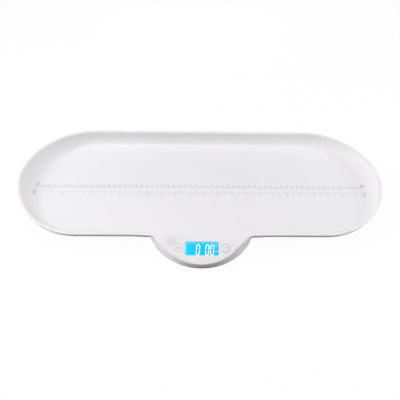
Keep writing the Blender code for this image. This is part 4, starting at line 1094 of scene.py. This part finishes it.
def makeDisplayBlue():
    # backlit blue: lighter at the left edge and along the top, with a painted shadow of the window's far wall
    # darkest at the very top
    look = displayLooks["displayBlue"]
    tree, skin, place = newMaterial("displayBlue", look["shader"])
    sloped = slopedPlace(tree, place, boxCentre("lcd_glass"))
    axes = addNode(tree, "ShaderNodeSeparateXYZ", {0: sloped}).outputs
    glow = displaySizes["blue"]
    for axis, start, full, share, colour in displaySizes["blueTurnsAndPaintedShadow"]:
        inputs = {"Value": axes[axis], "From Min": start, "From Max": full}
        ramp = nodeOut(tree, "ShaderNodeMapRange", "Result", inputs, interpolation_type="SMOOTHSTEP")
        glow = blendColours(tree, mathNode(tree, "MULTIPLY", ramp, share), glow, colour)
    cloud = grainOf(tree, sloped, *look["grain"])["Unevenness"]
    clouded = mathNode(tree, "MULTIPLY", cloud, displaySizes["cloudShare"])
    paint(tree, skin, clouded, glow, displaySizes["cloud"], "Emission Color")
    paint(tree, skin, cloud, *look["ground"])


def makeGlow(name, colour, shade):
    look = displayLooks["glow"]
    tree, skin, place = newMaterial(name, look["shader"])
    share = grainOf(tree, place, *look["grain"])["Unevenness"]
    paint(tree, skin, share, colour, shade, "Emission Color")
    paint(tree, skin, share, *look["ground"])


def makeLensClear():
    look = displayLooks["lensClear"]
    tree, skin, place = newMaterial("lensClear", look["shader"])
    dust = dustOf(tree, place, *look["dust"])
    paint(tree, skin, dust, *look["colours"])
    gloss(tree, skin, dust, *look["roughness"])


def makeLens():
    size, middle = displaySizes, onPanel("display_lens")
    low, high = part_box("display_lens")
    corner, bevel, thickness = size["lensCorner"], size["lensBevel"], size["lensThickness"]
    turn = panelMatrix.to_3x3()
    width, upright = high.x - low.x, thickness * abs((turn @ Vector((0, 0, 1))).y)
    height = (high.y - low.y - upright) / (turn @ Vector((0, 1, 0))).y
    full = roundedRectangle(width, height, corner, middle.to_2d())
    inset = roundedRectangle(width - 2 * bevel, height - 2 * bevel, corner - bevel / 2, middle.to_2d())
    top, bottom = middle.z + thickness / 2, middle.z - thickness / 2
    mesh = inPanel(slabMesh("displayLens", [(inset, top), (full, top - bevel), (full, bottom)]))
    dressed("displayLens", mesh, bodyName, "lensClear", ["display_lens"])


def strokeShape(first, second, half):
    # a segment from one end to the other, pointed at both ends
    along = (second - first).normalized()
    side = Vector((-along.y, along.x)) * half
    near, far = first + along * half, second - along * half
    return [first, near - side, far - side, second, far + side, near + side]


def makeDigits():
    size, half = displaySizes, displaySizes["stroke"] / 2
    top = onPanel("lcd_glass").z + size["glassHalf"] + size["lift"]
    width, height = size["digitWidth"] - size["stroke"], size["digitHeight"] - size["stroke"]
    left, right, low, high, middle = -width / 2, width / 2, half, half + height, half + height / 2
    ends = [
        ((left, low), (right, low)), ((left, high), (right, high)), ((left, low), (left, middle)),
        ((right, low), (right, middle)), ((left, middle), (left, high)), ((right, middle), (right, high)),
    ]
    strokes = []
    for across in size["digitPlaces"]:
        for first, second in ends:
            first, second = Vector(first), Vector(second)
            along = (second - first).normalized() * size["strokeGap"]
            shape = strokeShape(first + along, second - along, half)
            outline = []
            for p in shape:
                outline.append((p.x + (p.y - middle) * size["slant"] + across, p.y + size["digitFoot"]))
            strokes.append(slabMesh("stroke", [(outline, top + size["height"]), (outline, top)]))
    for words, across, up in size["unitPlaces"]:
        letters = textMesh(words, size["unitSize"], (across, up), size["height"])
        letters.transform(Matrix.Translation((0, 0, top)))
        strokes.append(letters)
    lit = top + size["height"]
    dots = drumMeshes(size["dotRadius"], top, lit, size["dotPlaces"], size["dotSteps"])
    for name, meshes, glow in (("lcdDigits", strokes, "digitGlow"), ("lcdFaintDots", dots, "faintGlow")):
        dressed(name, inPanel(joinedMesh(name, meshes)), bodyName, glow, sharpAngle=None)


print("display")
makeDisplayBlue()
for finishName, finishLook in glowColours.items():
    makeGlow(finishName, *finishLook)
makeLensClear()
makeLens()
makeDigits()


# Button caps, each with its ring and its word
buttonLook = {
    "proud": 0.0002,
    "dish": 0.00012,
    "dishShares": (0.35, 0.6, 0.8, 1),
    "edge": 0.0009,
    "edgeSteps": 5,
    "ringOuter": 0.0057,
    "ringInner": 0.0054,
    "ringDepth": 0.00012,
    "flangeRadius": 0.0078,
    "flangeHeight": 0.0008,
    "stemRadius": 0.0020,
    "stemDrop": 0.0015,
    "wordHeight": 0.00005,
    "wordSunk": 0.00001,
    "wordSpacing": 1.05,
    # each word's size and place up the cap
    "words": {
        "upper_left": (("UNIT", 0.0025, 0.0015), ("kg/lb/oz", 0.0024, -0.0016)),
        "lower_left": (("TARE", 0.0031, 0.0),),
        "right": (("ON/OFF", 0.0025, 0.0),),
    },
}


def dishLevel(radius):
    look = buttonLook
    return look["proud"] - look["dish"] * (1 - min(radius / look["ringInner"], 1) ** 2)


def capProfile():
    look, radius, edge, proud = buttonLook, buttonSizes["radius"], buttonLook["edge"], buttonLook["proud"]
    top = -traySizes["wall"] - gap
    foot, stem, wide = top - look["flangeHeight"], look["stemRadius"], look["flangeRadius"]
    inner, outer, depth = look["ringInner"], look["ringOuter"], look["ringDepth"]
    profile = [(inner * share, dishLevel(inner * share)) for share in (0, *look["dishShares"])]
    profile += [(inner + depth / 2, proud - depth), (outer - depth / 2, proud - depth), (outer, proud)]
    profile += [(radius - inset, proud - down) for inset, down in roundedEdge(edge, look["edgeSteps"])[1:]]
    profile += [(radius, top), (wide, top), (wide, foot), (stem, foot)]
    return profile + [(stem, top - look["stemDrop"]), (0, top - look["stemDrop"])]


def makeButtons():
    look = buttonLook
    for place in buttonNames:
        at, body = onPanel(f"switch_plunger_{place}").to_2d(), f"{place}_button"
        cap = inPanel(turnedMesh(f"buttonCap_{place}", capProfile(), buttonSizes["steps"], at))
        dressed(f"buttonCap_{place}", cap, body, "buttonSatin", [f"button_{place}"], 40)
        words = []
        for text, size, up in look["words"][place]:
            letters = textMesh(text, size, (at.x, at.y + up), look["wordHeight"], spacing=look["wordSpacing"])
            for vert in letters.vertices:
                vert.co.z += dishLevel((vert.co.to_2d() - at).length) - look["wordSunk"]
            words.append(letters)
        word = inPanel(joinedMesh(f"buttonWord_{place}", words))
        dressed(f"buttonWord_{place}", word, body, "legendInk", sharpAngle=None)


print("buttons")
makeButtons()


# Feet: a cup on a ball-ended stud and a ribbed pad
footSizes = {
    "edge": 0.0005,
    "soft": 0.3,  # of the edge, on the lower rims
    "grooves": 4, "grooveDepth": 0.0004, "grooveWidth": 0.0011,
    "cupWall": 0.0020, "stud": 0.0045, "steps": 72,
}


def cupProfile(radius, padRadius, low, high, seat):
    wall, edge, stud = footSizes["cupWall"], footSizes["edge"], footSizes["stud"]
    rim, dish, bevel, soft = high - wall / 2, seat + wall, edge / 2, edge * footSizes["soft"]
    profile = [(0, high), (stud - edge, high), (stud, high - edge), (stud, dish + edge), (stud + edge, dish)]
    profile += [(radius - wall - edge, dish), (radius - wall, dish + edge), (radius - wall, rim - bevel)]
    profile += [(radius - wall + bevel, rim), (radius - bevel, rim), (radius, rim - bevel)]
    profile += [(radius, low + edge), (radius - soft, low + soft), (radius - edge, low)]
    return profile + [(padRadius + gap, low), (padRadius + gap, seat), (0, seat)]


def padProfile(radius, high):
    size, edge, soft = footSizes, footSizes["edge"], footSizes["edge"] * footSizes["soft"]
    profile = [(0, high), (radius - edge, high), (radius, high - edge)]
    profile += [(radius, edge), (radius - soft, soft), (radius - edge, 0)]
    pitch, depth = (radius - 2 * edge) / (size["grooves"] + 0.5), size["grooveDepth"]
    draft = depth / 3
    for ring in range(size["grooves"]):
        outer = radius - 2 * edge - ring * pitch
        inner = outer - size["grooveWidth"]
        profile += [(outer, 0), (outer - draft, depth), (inner + draft, depth), (inner, 0)]
    return profile + [(0, 0)]


def makeFeet():
    for place in footNames:
        low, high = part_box(f"foot_cup_{place}")
        padLow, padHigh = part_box(f"foot_pad_{place}")
        at, body, steps = ((low + high) / 2).to_2d(), f"{place}_foot", footSizes["steps"]
        radius, padRadius = (high.x - low.x) / 2, (padHigh.x - padLow.x) / 2
        outline = cupProfile(radius, padRadius, low.z, high.z, padHigh.z + gap)
        cup = turnedMesh(f"footCup_{place}", outline, steps, at)
        dressed(f"footCup_{place}", cup, body, "baseSatin", [f"foot_cup_{place}"], 40)
        pad = turnedMesh(f"footPad_{place}", padProfile(padRadius, padHigh.z), steps, at)
        dressed(f"footPad_{place}", pad, body, "padRubber", [f"foot_pad_{place}"], 30)


print("feet")
makeFeet()


# Battery door: a hinged plate with finger ribs, seen from below
doorSizes = {
    "stubRadius": 0.0006,
    "edge": 0.0003,
    "tongueWidth": 0.012,
    "tongueLength": 0.009,
    "tongueSlot": 0.0008,
    "ribs": 5,
    "ribPitch": 0.0016,
    "ribWidth": 0.0007,
    "ribDepth": 0.0004,
    "ribLength": 0.010,
    "hingeSteps": 16,
    "stubSteps": 24,
    "cornerSteps": 4,
}


def doorOutline(inset):
    # seen from the side: half round at the hinge, with small rounded corners at the latch
    quarter, corner, steps = math.pi / 2, 2 * doorSizes["edge"], doorSizes["cornerSteps"]
    outline = arcPoints(hingeMiddle.yz, hingeHalf - inset, quarter, 3 * quarter, doorSizes["hingeSteps"])
    y = doorHigh.y - corner
    outline += arcPoints((y, doorLow.z + corner), corner - inset, -quarter, 0, steps)
    outline += arcPoints((y, doorHigh.z - corner), corner - inset, 0, quarter, steps)
    return [point for point, _ in outline]


def makeDoor():
    size, edge, half = doorSizes, doorSizes["edge"], hingeHalf
    rings = [(-doorSide, edge), (-doorSide + edge, 0), (doorSide - edge, 0), (doorSide, edge)]
    mesh = loftedMesh("batteryDoor", [[(x, *point) for point in doorOutline(inset)] for x, inset in rings])
    stub = drumMesh(size["stubRadius"], -doorHigh.x, doorHigh.x, (0, 0), size["stubSteps"])
    cuts, slot, tongue = [], size["tongueSlot"], size["tongueWidth"] / 2
    for way in (-1, 1):
        near, far = sorted((way * tongue, way * (tongue + slot)))
        corner = (near, doorHigh.y - size["tongueLength"], doorLow.z - half)
        cuts.append(boxMesh(corner, (far, doorHigh.y + half, doorHigh.z + half)))
    reach = size["ribLength"] / 2 - slot
    for rib in range(size["ribs"]):
        y = doorHigh.y - slot - rib * size["ribPitch"]
        corner = (-reach, y - size["ribWidth"], doorLow.z - half)
        cuts.append(boxMesh(corner, (reach, y, doorLow.z + size["ribDepth"])))
    mesh = carved(mesh, [("UNION", [laidOver(stub, hingeMiddle)]), ("DIFFERENCE", cuts)])
    dressed("batteryDoor", mesh, "door", "baseSatin", ["battery_door"], 30)


print("door")
makeDoor()


# Screws: one shape set down at every place by a geometry tree
screwSizes = {
    "housing": {
        "head": 0.0030, "headHeight": 0.0020, "shank": 0.0014, "length": 0.014, "cross": 0.0009, "sides": 32,
    },
    "board": {
        "head": 0.0020, "headHeight": 0.0013, "shank": 0.0009, "length": 0.005, "cross": 0.0006, "sides": 24,
    },
    "tipShare": 0.4,
    "rimShare": 0.45,
    "domeAngles": (0.35, 0.7, 1.1),
    "crossShare": 0.55,
    "thread": 0.00022,  # on the housing screws, and in proportion on the others
    "threadPitch": 0.0009,
    "boardUnder": -0.0105,
    "seed": 3,
}


def screwMesh(size):
    # head downwards: the shank's top at its length, the head's underside at minus its height
    head, height, shank = size["head"], size["headHeight"], size["shank"]
    pitch, rim, cross = screwSizes["threadPitch"], screwSizes["rimShare"], size["cross"]
    core = shank - screwSizes["thread"] * shank / screwSizes["housing"]["shank"]
    profile = [(0, size["length"]), (core * screwSizes["tipShare"], size["length"])]
    level = size["length"] - pitch
    while level - pitch / 2 > pitch:
        profile += [(core, level), (shank, level - pitch * 0.25), (core, level - pitch * 0.5)]
        level -= pitch
    profile += [(core, pitch / 2), (shank, 0), (head, 0), (head, -height * rim)]
    for angle in screwSizes["domeAngles"]:
        profile.append((head * math.cos(angle), -height * (rim + (1 - rim) * math.sin(angle))))
    mesh = turnedMesh("screw", profile + [(0, -height)], size["sides"])
    steps, reach = [], head * screwSizes["crossShare"]
    for across, along in ((reach, cross / 2), (cross / 2, reach)):
        # the recess is as deep as it is wide
        bar = boxMesh((-across, -along, -height * 2), (across, along, cross - height))
        steps.append(("DIFFERENCE", [bar]))
    return carved(mesh, steps)


def makeScatterTree():
    # the given shape at each point of the given places
    inputs = [("Places", "Object", None), ("Shape", "Object", None), ("Tilt", "Float", 0.0)]
    inputs += [("Turn Spread", "Float", 0.0), ("Seed", "Int", screwSizes["seed"])]
    tree, given, result = newGeometryTree("setDown", inputs)
    places = nodeOut(tree, "GeometryNodeObjectInfo", "Geometry", {"Object": given["Places"]})
    inputs = {"Object": given["Shape"], "As Instance": True}
    shape = nodeOut(tree, "GeometryNodeObjectInfo", "Geometry", inputs)
    inputs = {3: given["Turn Spread"], "Seed": given["Seed"]}
    turn = nodeOut(tree, "FunctionNodeRandomValue", 1, inputs, data_type="FLOAT")
    inputs = {"Points": places, "Instance": shape, "Rotation": vectorNode(tree, given["Tilt"])}
    tilted = nodeOut(tree, "GeometryNodeInstanceOnPoints", 0, inputs)
    inputs = {"Instances": tilted, "Rotation": vectorNode(tree, 0.0, 0.0, turn)}
    return finishTree(tree, given, result, nodeOut(tree, "GeometryNodeRotateInstances", 0, inputs))


def setDown(name, tree, shapeMesh, points, tilt, replaced):
    pointMesh = bpy.data.meshes.new("points")
    pointMesh.from_pydata([tuple(point) for point in points], [], [])
    places, shape = addObject("places", pointMesh), addObject("shape", shapeMesh)
    values = {"Places": places, "Shape": shape, "Tilt": tilt, "Turn Spread": math.pi}
    values.update({"Seed": screwSizes["seed"], "Material": finishes["platedSteel"]})
    mesh = grownMesh(name, tree, values)
    for helper in (places, shape):
        bpy.data.objects.remove(helper)
    dressed(name, mesh, bodyName, None, replaced, 30)


def makeScrews():
    tree, housing, board = makeScatterTree(), screwSizes["housing"], screwSizes["board"]
    points = [(*at, screwLow.z + housing["headHeight"]) for at in screwPlaces]
    setDown("housingScrews", tree, screwMesh(housing), points, 0.0, housingScrews)
    points = [panelMatrix @ Vector((*at, screwSizes["boardUnder"] - gap)) for at in boardScrewPlaces]
    setDown("boardScrews", tree, screwMesh(board), points, panelTilt, boardScrews)


print("screws")
makeScrews()


# Battery springs: a conical coil along a spiral curve
springSizes = {"Turns": 3.0, "Wide Radius": 0.0038, "Tip Radius": 0.0024, "Wire Radius": 0.0004}
springSteps = {"turn": 28, "wire": 10}


def makeSpringTree():
    inputs = [(label, "Float", value) for label, value in springSizes.items()] + [("Height", "Float", 0.005)]
    tree, given, result = newGeometryTree("conicalSpring", inputs)
    inputs = {"Resolution": springSteps["turn"], "Rotations": given["Turns"], "Height": given["Height"]}
    inputs.update({"Start Radius": given["Wide Radius"], "End Radius": given["Tip Radius"]})
    spiral = nodeOut(tree, "GeometryNodeCurveSpiral", 0, inputs)
    inputs = {"Resolution": springSteps["wire"], "Radius": given["Wire Radius"]}
    ring = nodeOut(tree, "GeometryNodeCurvePrimitiveCircle", 0, inputs)
    inputs = {"Curve": spiral, "Profile Curve": ring, "Fill Caps": True}
    return finishTree(tree, given, result, nodeOut(tree, "GeometryNodeCurveToMesh", 0, inputs))


def makeSprings():
    tree = makeSpringTree()
    for number in range(1, 4):
        low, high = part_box(f"battery_spring_{number}")
        middle, cellAxis = (low + high) / 2, boxCentre(f"battery_{number}")
        side, height = math.copysign(1, middle.x), high.x - low.x - 2 * springSizes["Wire Radius"]
        values = {**springSizes, "Height": height, "Material": finishes["springSteel"]}
        mesh = grownMesh(f"batterySpring_{number}", tree, values)
        laidOver(mesh, (middle.x + side * height / 2, cellAxis.y, cellAxis.z), -side)
        dressed(f"batterySpring_{number}", mesh, bodyName, None, [f"battery_spring_{number}"], 40)


print("springs")
makeSprings()


# Cells: a printed jacket with steel ends
cellSizes = {
    "radius": 0.00525, "nubRadius": 0.0019, "nub": 0.0009, "round": 0.0005, "crimp": 0.0006,
    "jacketGap": 0.0012, "steps": 48,
}
jacketLook = {
    "shader": {"Roughness": 0.32, "Coat Weight": 0.3},
    "sleeve": ((0.035, 0.055, 0.10), (0.025, 0.042, 0.08)),
    "band": (0.30, 0.31, 0.33),
    "bandsPerMetre": 60.0,
    "bandShare": 0.10,  # of their pitch
    "grain": (3000, 120, 0.5), "dust": (900, 0.3), "dusty": (0.3, 0.3, 0.3), "bump": (0.08, 0.0001),
}


def makeCellJacket():
    # dark sleeve with thin pale bands across the cell
    look = jacketLook
    tree, skin, place = newMaterial("cellJacket", look["shader"])
    along = nodeOut(tree, "ShaderNodeSeparateXYZ", "X", {0: place})
    grain = grainOf(tree, place, *look["grain"])
    dark = blendColours(tree, grain["Unevenness"], *look["sleeve"])
    wave = mathNode(tree, "FRACT", mathNode(tree, "MULTIPLY", along, look["bandsPerMetre"]))
    banded = mathNode(tree, "LESS_THAN", wave, look["bandShare"])
    sleeve = blendColours(tree, banded, dark, look["band"])
    paint(tree, skin, dustOf(tree, place, *look["dust"]), sleeve, look["dusty"])
    addBump(tree, skin, grain["Height"], *look["bump"])


def cellProfile(half):
    size = cellSizes
    radius, nub, soft, crimp = size["radius"], size["nubRadius"], size["round"], size["crimp"]
    shoulder, foot = half - size["nub"], -half + soft / 4
    profile = [(0, half), (nub - soft / 3, half), (nub, half - soft / 3), (nub, shoulder - soft / 4)]
    profile += [(radius - crimp * 2, shoulder - soft / 4), (radius - crimp, shoulder)]
    profile += [(radius - soft / 2, shoulder - soft / 6), (radius, shoulder - soft), (radius, -half + soft)]
    profile += [(radius - soft / 3, foot), (radius - crimp, -half)]
    return profile + [(radius - crimp * 2, foot), (0, foot)]


def makeCells():
    radius, crimp = cellSizes["radius"], cellSizes["crimp"]
    for number in range(1, 4):
        low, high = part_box(f"battery_{number}")
        half = (high.x - low.x) / 2
        mesh = turnedMesh(f"batteryCell_{number}", cellProfile(half), cellSizes["steps"])
        for finish in ("cellJacket", "platedSteel"):
            mesh.materials.append(finishes[finish])
        for face in mesh.polygons:
            out = face.center.to_2d().length
            end = abs(face.center.z) > half - cellSizes["jacketGap"] or out < radius / 2
            face.material_index = 1 if end and out < radius - crimp else 0
        side = math.copysign(1, boxCentre(f"battery_spring_{number}").x)
        laidOver(mesh, (low + high) / 2, -side)  # the nub points away from the spring
        dressed(f"batteryCell_{number}", mesh, bodyName, None, [f"battery_{number}"], 40)


print("cells")
makeCellJacket()
makeCells()


# Inner parts that keep their own shape and get their finishes here
boardLook = {
    "shader": {"Roughness": 0.35, "Coat Weight": 0.25},
    "varnish": ((0.012, 0.10, 0.035), (0.01, 0.08, 0.03)),
    "grain": (5000, 60, 0.4),
    "traces": {"Scale": 160.0, "Mortar Size": 0.06, "Brick Width": 0.9, "Row Height": 0.28},
    "traceColour": (0.03, 0.19, 0.06),
    "traceShare": 0.7,
    "traceLift": 0.4,  # as a share of the pads'
    "padScale": 210.0,
    "padReach": 0.14,
    "padColour": (0.55, 0.56, 0.55),
    "roughness": (0.38, 0.24),  # of the varnish and of the pads
    "bump": (0.3, 0.00004),
}


def makeBoardGreen():
    # green varnish over traces, with tinned pads
    look = boardLook
    tree, skin, place = newMaterial("boardGreen", look["shader"])
    sloped = slopedPlace(tree, place, panelMatrix.translation)
    traces = nodeOut(tree, "ShaderNodeTexBrick", "Fac", {"Vector": sloped, **look["traces"]})
    inputs = {"Vector": sloped, "Scale": look["padScale"]}
    pads = nodeOut(tree, "ShaderNodeTexVoronoi", "Distance", inputs)
    uneven = grainOf(tree, place, *look["grain"])["Unevenness"]
    ground = blendColours(tree, uneven, *look["varnish"])
    share = mathNode(tree, "MULTIPLY", traces, look["traceShare"])
    traced = blendColours(tree, share, ground, look["traceColour"])
    tinned = mathNode(tree, "LESS_THAN", pads, look["padReach"])
    paint(tree, skin, tinned, traced, look["padColour"])
    gloss(tree, skin, tinned, *look["roughness"])
    lifted = mathNode(tree, "ADD", mathNode(tree, "MULTIPLY", traces, look["traceLift"]), tinned)
    addBump(tree, skin, lifted, *look["bump"])


makeBoardGreen()
contactPlates = [f"contact_plate_{number}" for number in range(1, 4)]
switchBodies = [f"switch_{place}" for place in buttonNames]
nodeFinishes = {
    "blackMoulding": ["display_frame", "control_chip", "buzzer"] + switchBodies,
    "lightPlate": ["backlight"],
    "padRubber": ["zebra_strip"],
    "boardGreen": ["main_board"],
    "displayBlue": ["lcd_glass"],
    "platedSteel": [f"switch_plunger_{place}" for place in buttonNames] + contactPlates,
    "cellSteel": [f"load_cell_{place}" for place in footNames],
    "leadJacket": [f"lead_{place}" for place in footNames] + ["battery_lead_left", "battery_lead_right"],
}
for finishName, nodeNames in nodeFinishes.items():
    for nodeName in nodeNames:
        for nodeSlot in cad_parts[nodeName].material_slots:
            nodeSlot.material = finishes[finishName]
print("inner parts finished:", sum(len(nodeNames) for nodeNames in nodeFinishes.values()))


# Camera, light and floor
viewSizes = {
    "place": (-0.0141, -0.3621, 0.4646),
    "pitch": 51.421,
    "yaw": 1.949,
    "roll": 1.931,
    "lens": 27.446,
    "sensor": 36.0,
    "clipStart": 0.01,
}
plainWhite, lowTint = (1, 1, 1), (1.0, 0.93, 0.98)
# each lamp's place, the point that it faces, its side, watts, beam in degrees and colour
lamps = {
    "overhead": ((-0.6, 0.3, 1.6), (0, 0, 0), 1.6, 11.6, 180, plainWhite),
    "leftSide": ((-1.2, -0.15, 0.8), (0, 0, 0), 0.9, 11.8, 180, plainWhite),
    "rightSide": ((1.2, -0.15, 0.8), (0, 0, 0), 0.9, 12.3, 180, plainWhite),
    "leftLow": ((-0.85, -0.25, 0.05), (0, -0.13, 0.02), 0.3, 0.285, 34, lowTint),
    "rightLow": ((0.85, -0.25, 0.05), (0, -0.13, 0.02), 0.3, 0.12, 34, lowTint),
    "backLow": ((0, 1.0, 0.04), (0, 0, 0.02), 0.2, 5.0, 180, lowTint),
}
roomSizes = {
    "level": 0.05,
    "tint": (1.0, 0.82, 0.88),
    "floorCast": (0.05, 0.045, 0.048),  # the floor's colour for the light that it throws back
    "floorPale": (0.97, 0.97, 0.97),
    "floorShare": 0.04,  # how much of the floor shows shadows where it is seen
    "floorSide": 6.0,
}


def makeCamera():
    view = viewSizes
    pitch, yaw, roll = (math.radians(view[key]) for key in ("pitch", "yaw", "roll"))
    forward = Vector((math.sin(yaw) * math.cos(pitch), math.cos(yaw) * math.cos(pitch), -math.sin(pitch)))
    level = Vector((math.cos(yaw), -math.sin(yaw), 0))
    upright = level.cross(forward)
    right = level * math.cos(roll) + upright * math.sin(roll)
    up = upright * math.cos(roll) - level * math.sin(roll)
    data = bpy.data.cameras.new("photoView")
    data.sensor_width, data.lens, data.clip_start = view["sensor"], view["lens"], view["clipStart"]
    camera = addObject("photoView", data)
    axes = Matrix((right, up, -forward)).transposed()
    camera.matrix_world = Matrix.Translation(view["place"]) @ axes.to_4x4()
    scene.camera = camera


def makeLamp(name, place, aim, side, watts, beam, colour):
    # a soft square lamp that isn't seen itself
    data = bpy.data.lights.new(name, "AREA")
    data.energy, data.size, data.spread, data.color = watts, side, math.radians(beam), colour
    lamp = addObject(name, data)
    lamp.visible_camera = lamp.visible_glossy = False
    lamp.location = place
    lamp.rotation_euler = (Vector(aim) - Vector(place)).to_track_quat("-Z", "Y").to_euler()


def emptyTree(owner):
    owner.use_nodes = True
    owner.node_tree.nodes.clear()
    return owner.node_tree


def seenDirectly(tree):
    # 1 for rays from the camera and for what gloss and glass see
    path = tree.nodes.new("ShaderNodeLightPath").outputs
    glossy = mathNode(tree, "MAXIMUM", path["Is Glossy Ray"], path["Is Transmission Ray"])
    return mathNode(tree, "MAXIMUM", path["Is Camera Ray"], glossy)


def mixedShaders(tree, share, first, second):
    return nodeOut(tree, "ShaderNodeMixShader", 0, {0: share, 1: first, 2: second})


def makeWorld():
    # a dim even room; white where it is seen directly
    scene.world = bpy.data.worlds.new("paleRoom")
    tree, room = emptyTree(scene.world), roomSizes
    soft = nodeOut(tree, "ShaderNodeBackground", 0, {"Color": room["tint"], "Strength": room["level"]})
    white = nodeOut(tree, "ShaderNodeBackground", 0, {"Color": plainWhite, "Strength": 1.0})
    addNode(tree, "ShaderNodeOutputWorld", {0: mixedShaders(tree, seenDirectly(tree), soft, white)})


def makeFloor():
    # white with a little shadow where it is seen directly; dark where it lights the underside
    size, half = roomSizes, roomSizes["floorSide"] / 2
    material = bpy.data.materials.new("paleFloor")
    tree = emptyTree(material)
    cast = nodeOut(tree, "ShaderNodeBsdfDiffuse", 0, {"Color": size["floorCast"]})
    pale = nodeOut(tree, "ShaderNodeBsdfDiffuse", 0, {"Color": size["floorPale"]})
    white = nodeOut(tree, "ShaderNodeEmission", 0, {"Strength": 1.0})
    seen = mixedShaders(tree, size["floorShare"], white, pale)
    addNode(tree, "ShaderNodeOutputMaterial", {0: mixedShaders(tree, seenDirectly(tree), cast, seen)})
    mesh = bpy.data.meshes.new("paleFloor")
    corners = [(-half, -half, 0), (half, -half, 0), (half, half, 0), (-half, half, 0)]
    mesh.from_pydata(corners, [], [(0, 1, 2, 3)])
    mesh.materials.append(material)
    addObject("paleFloor", mesh)


makeCamera()
for lampName, lampValues in lamps.items():
    makeLamp(lampName, *lampValues)
makeWorld()
makeFloor()
print("camera, light and floor")
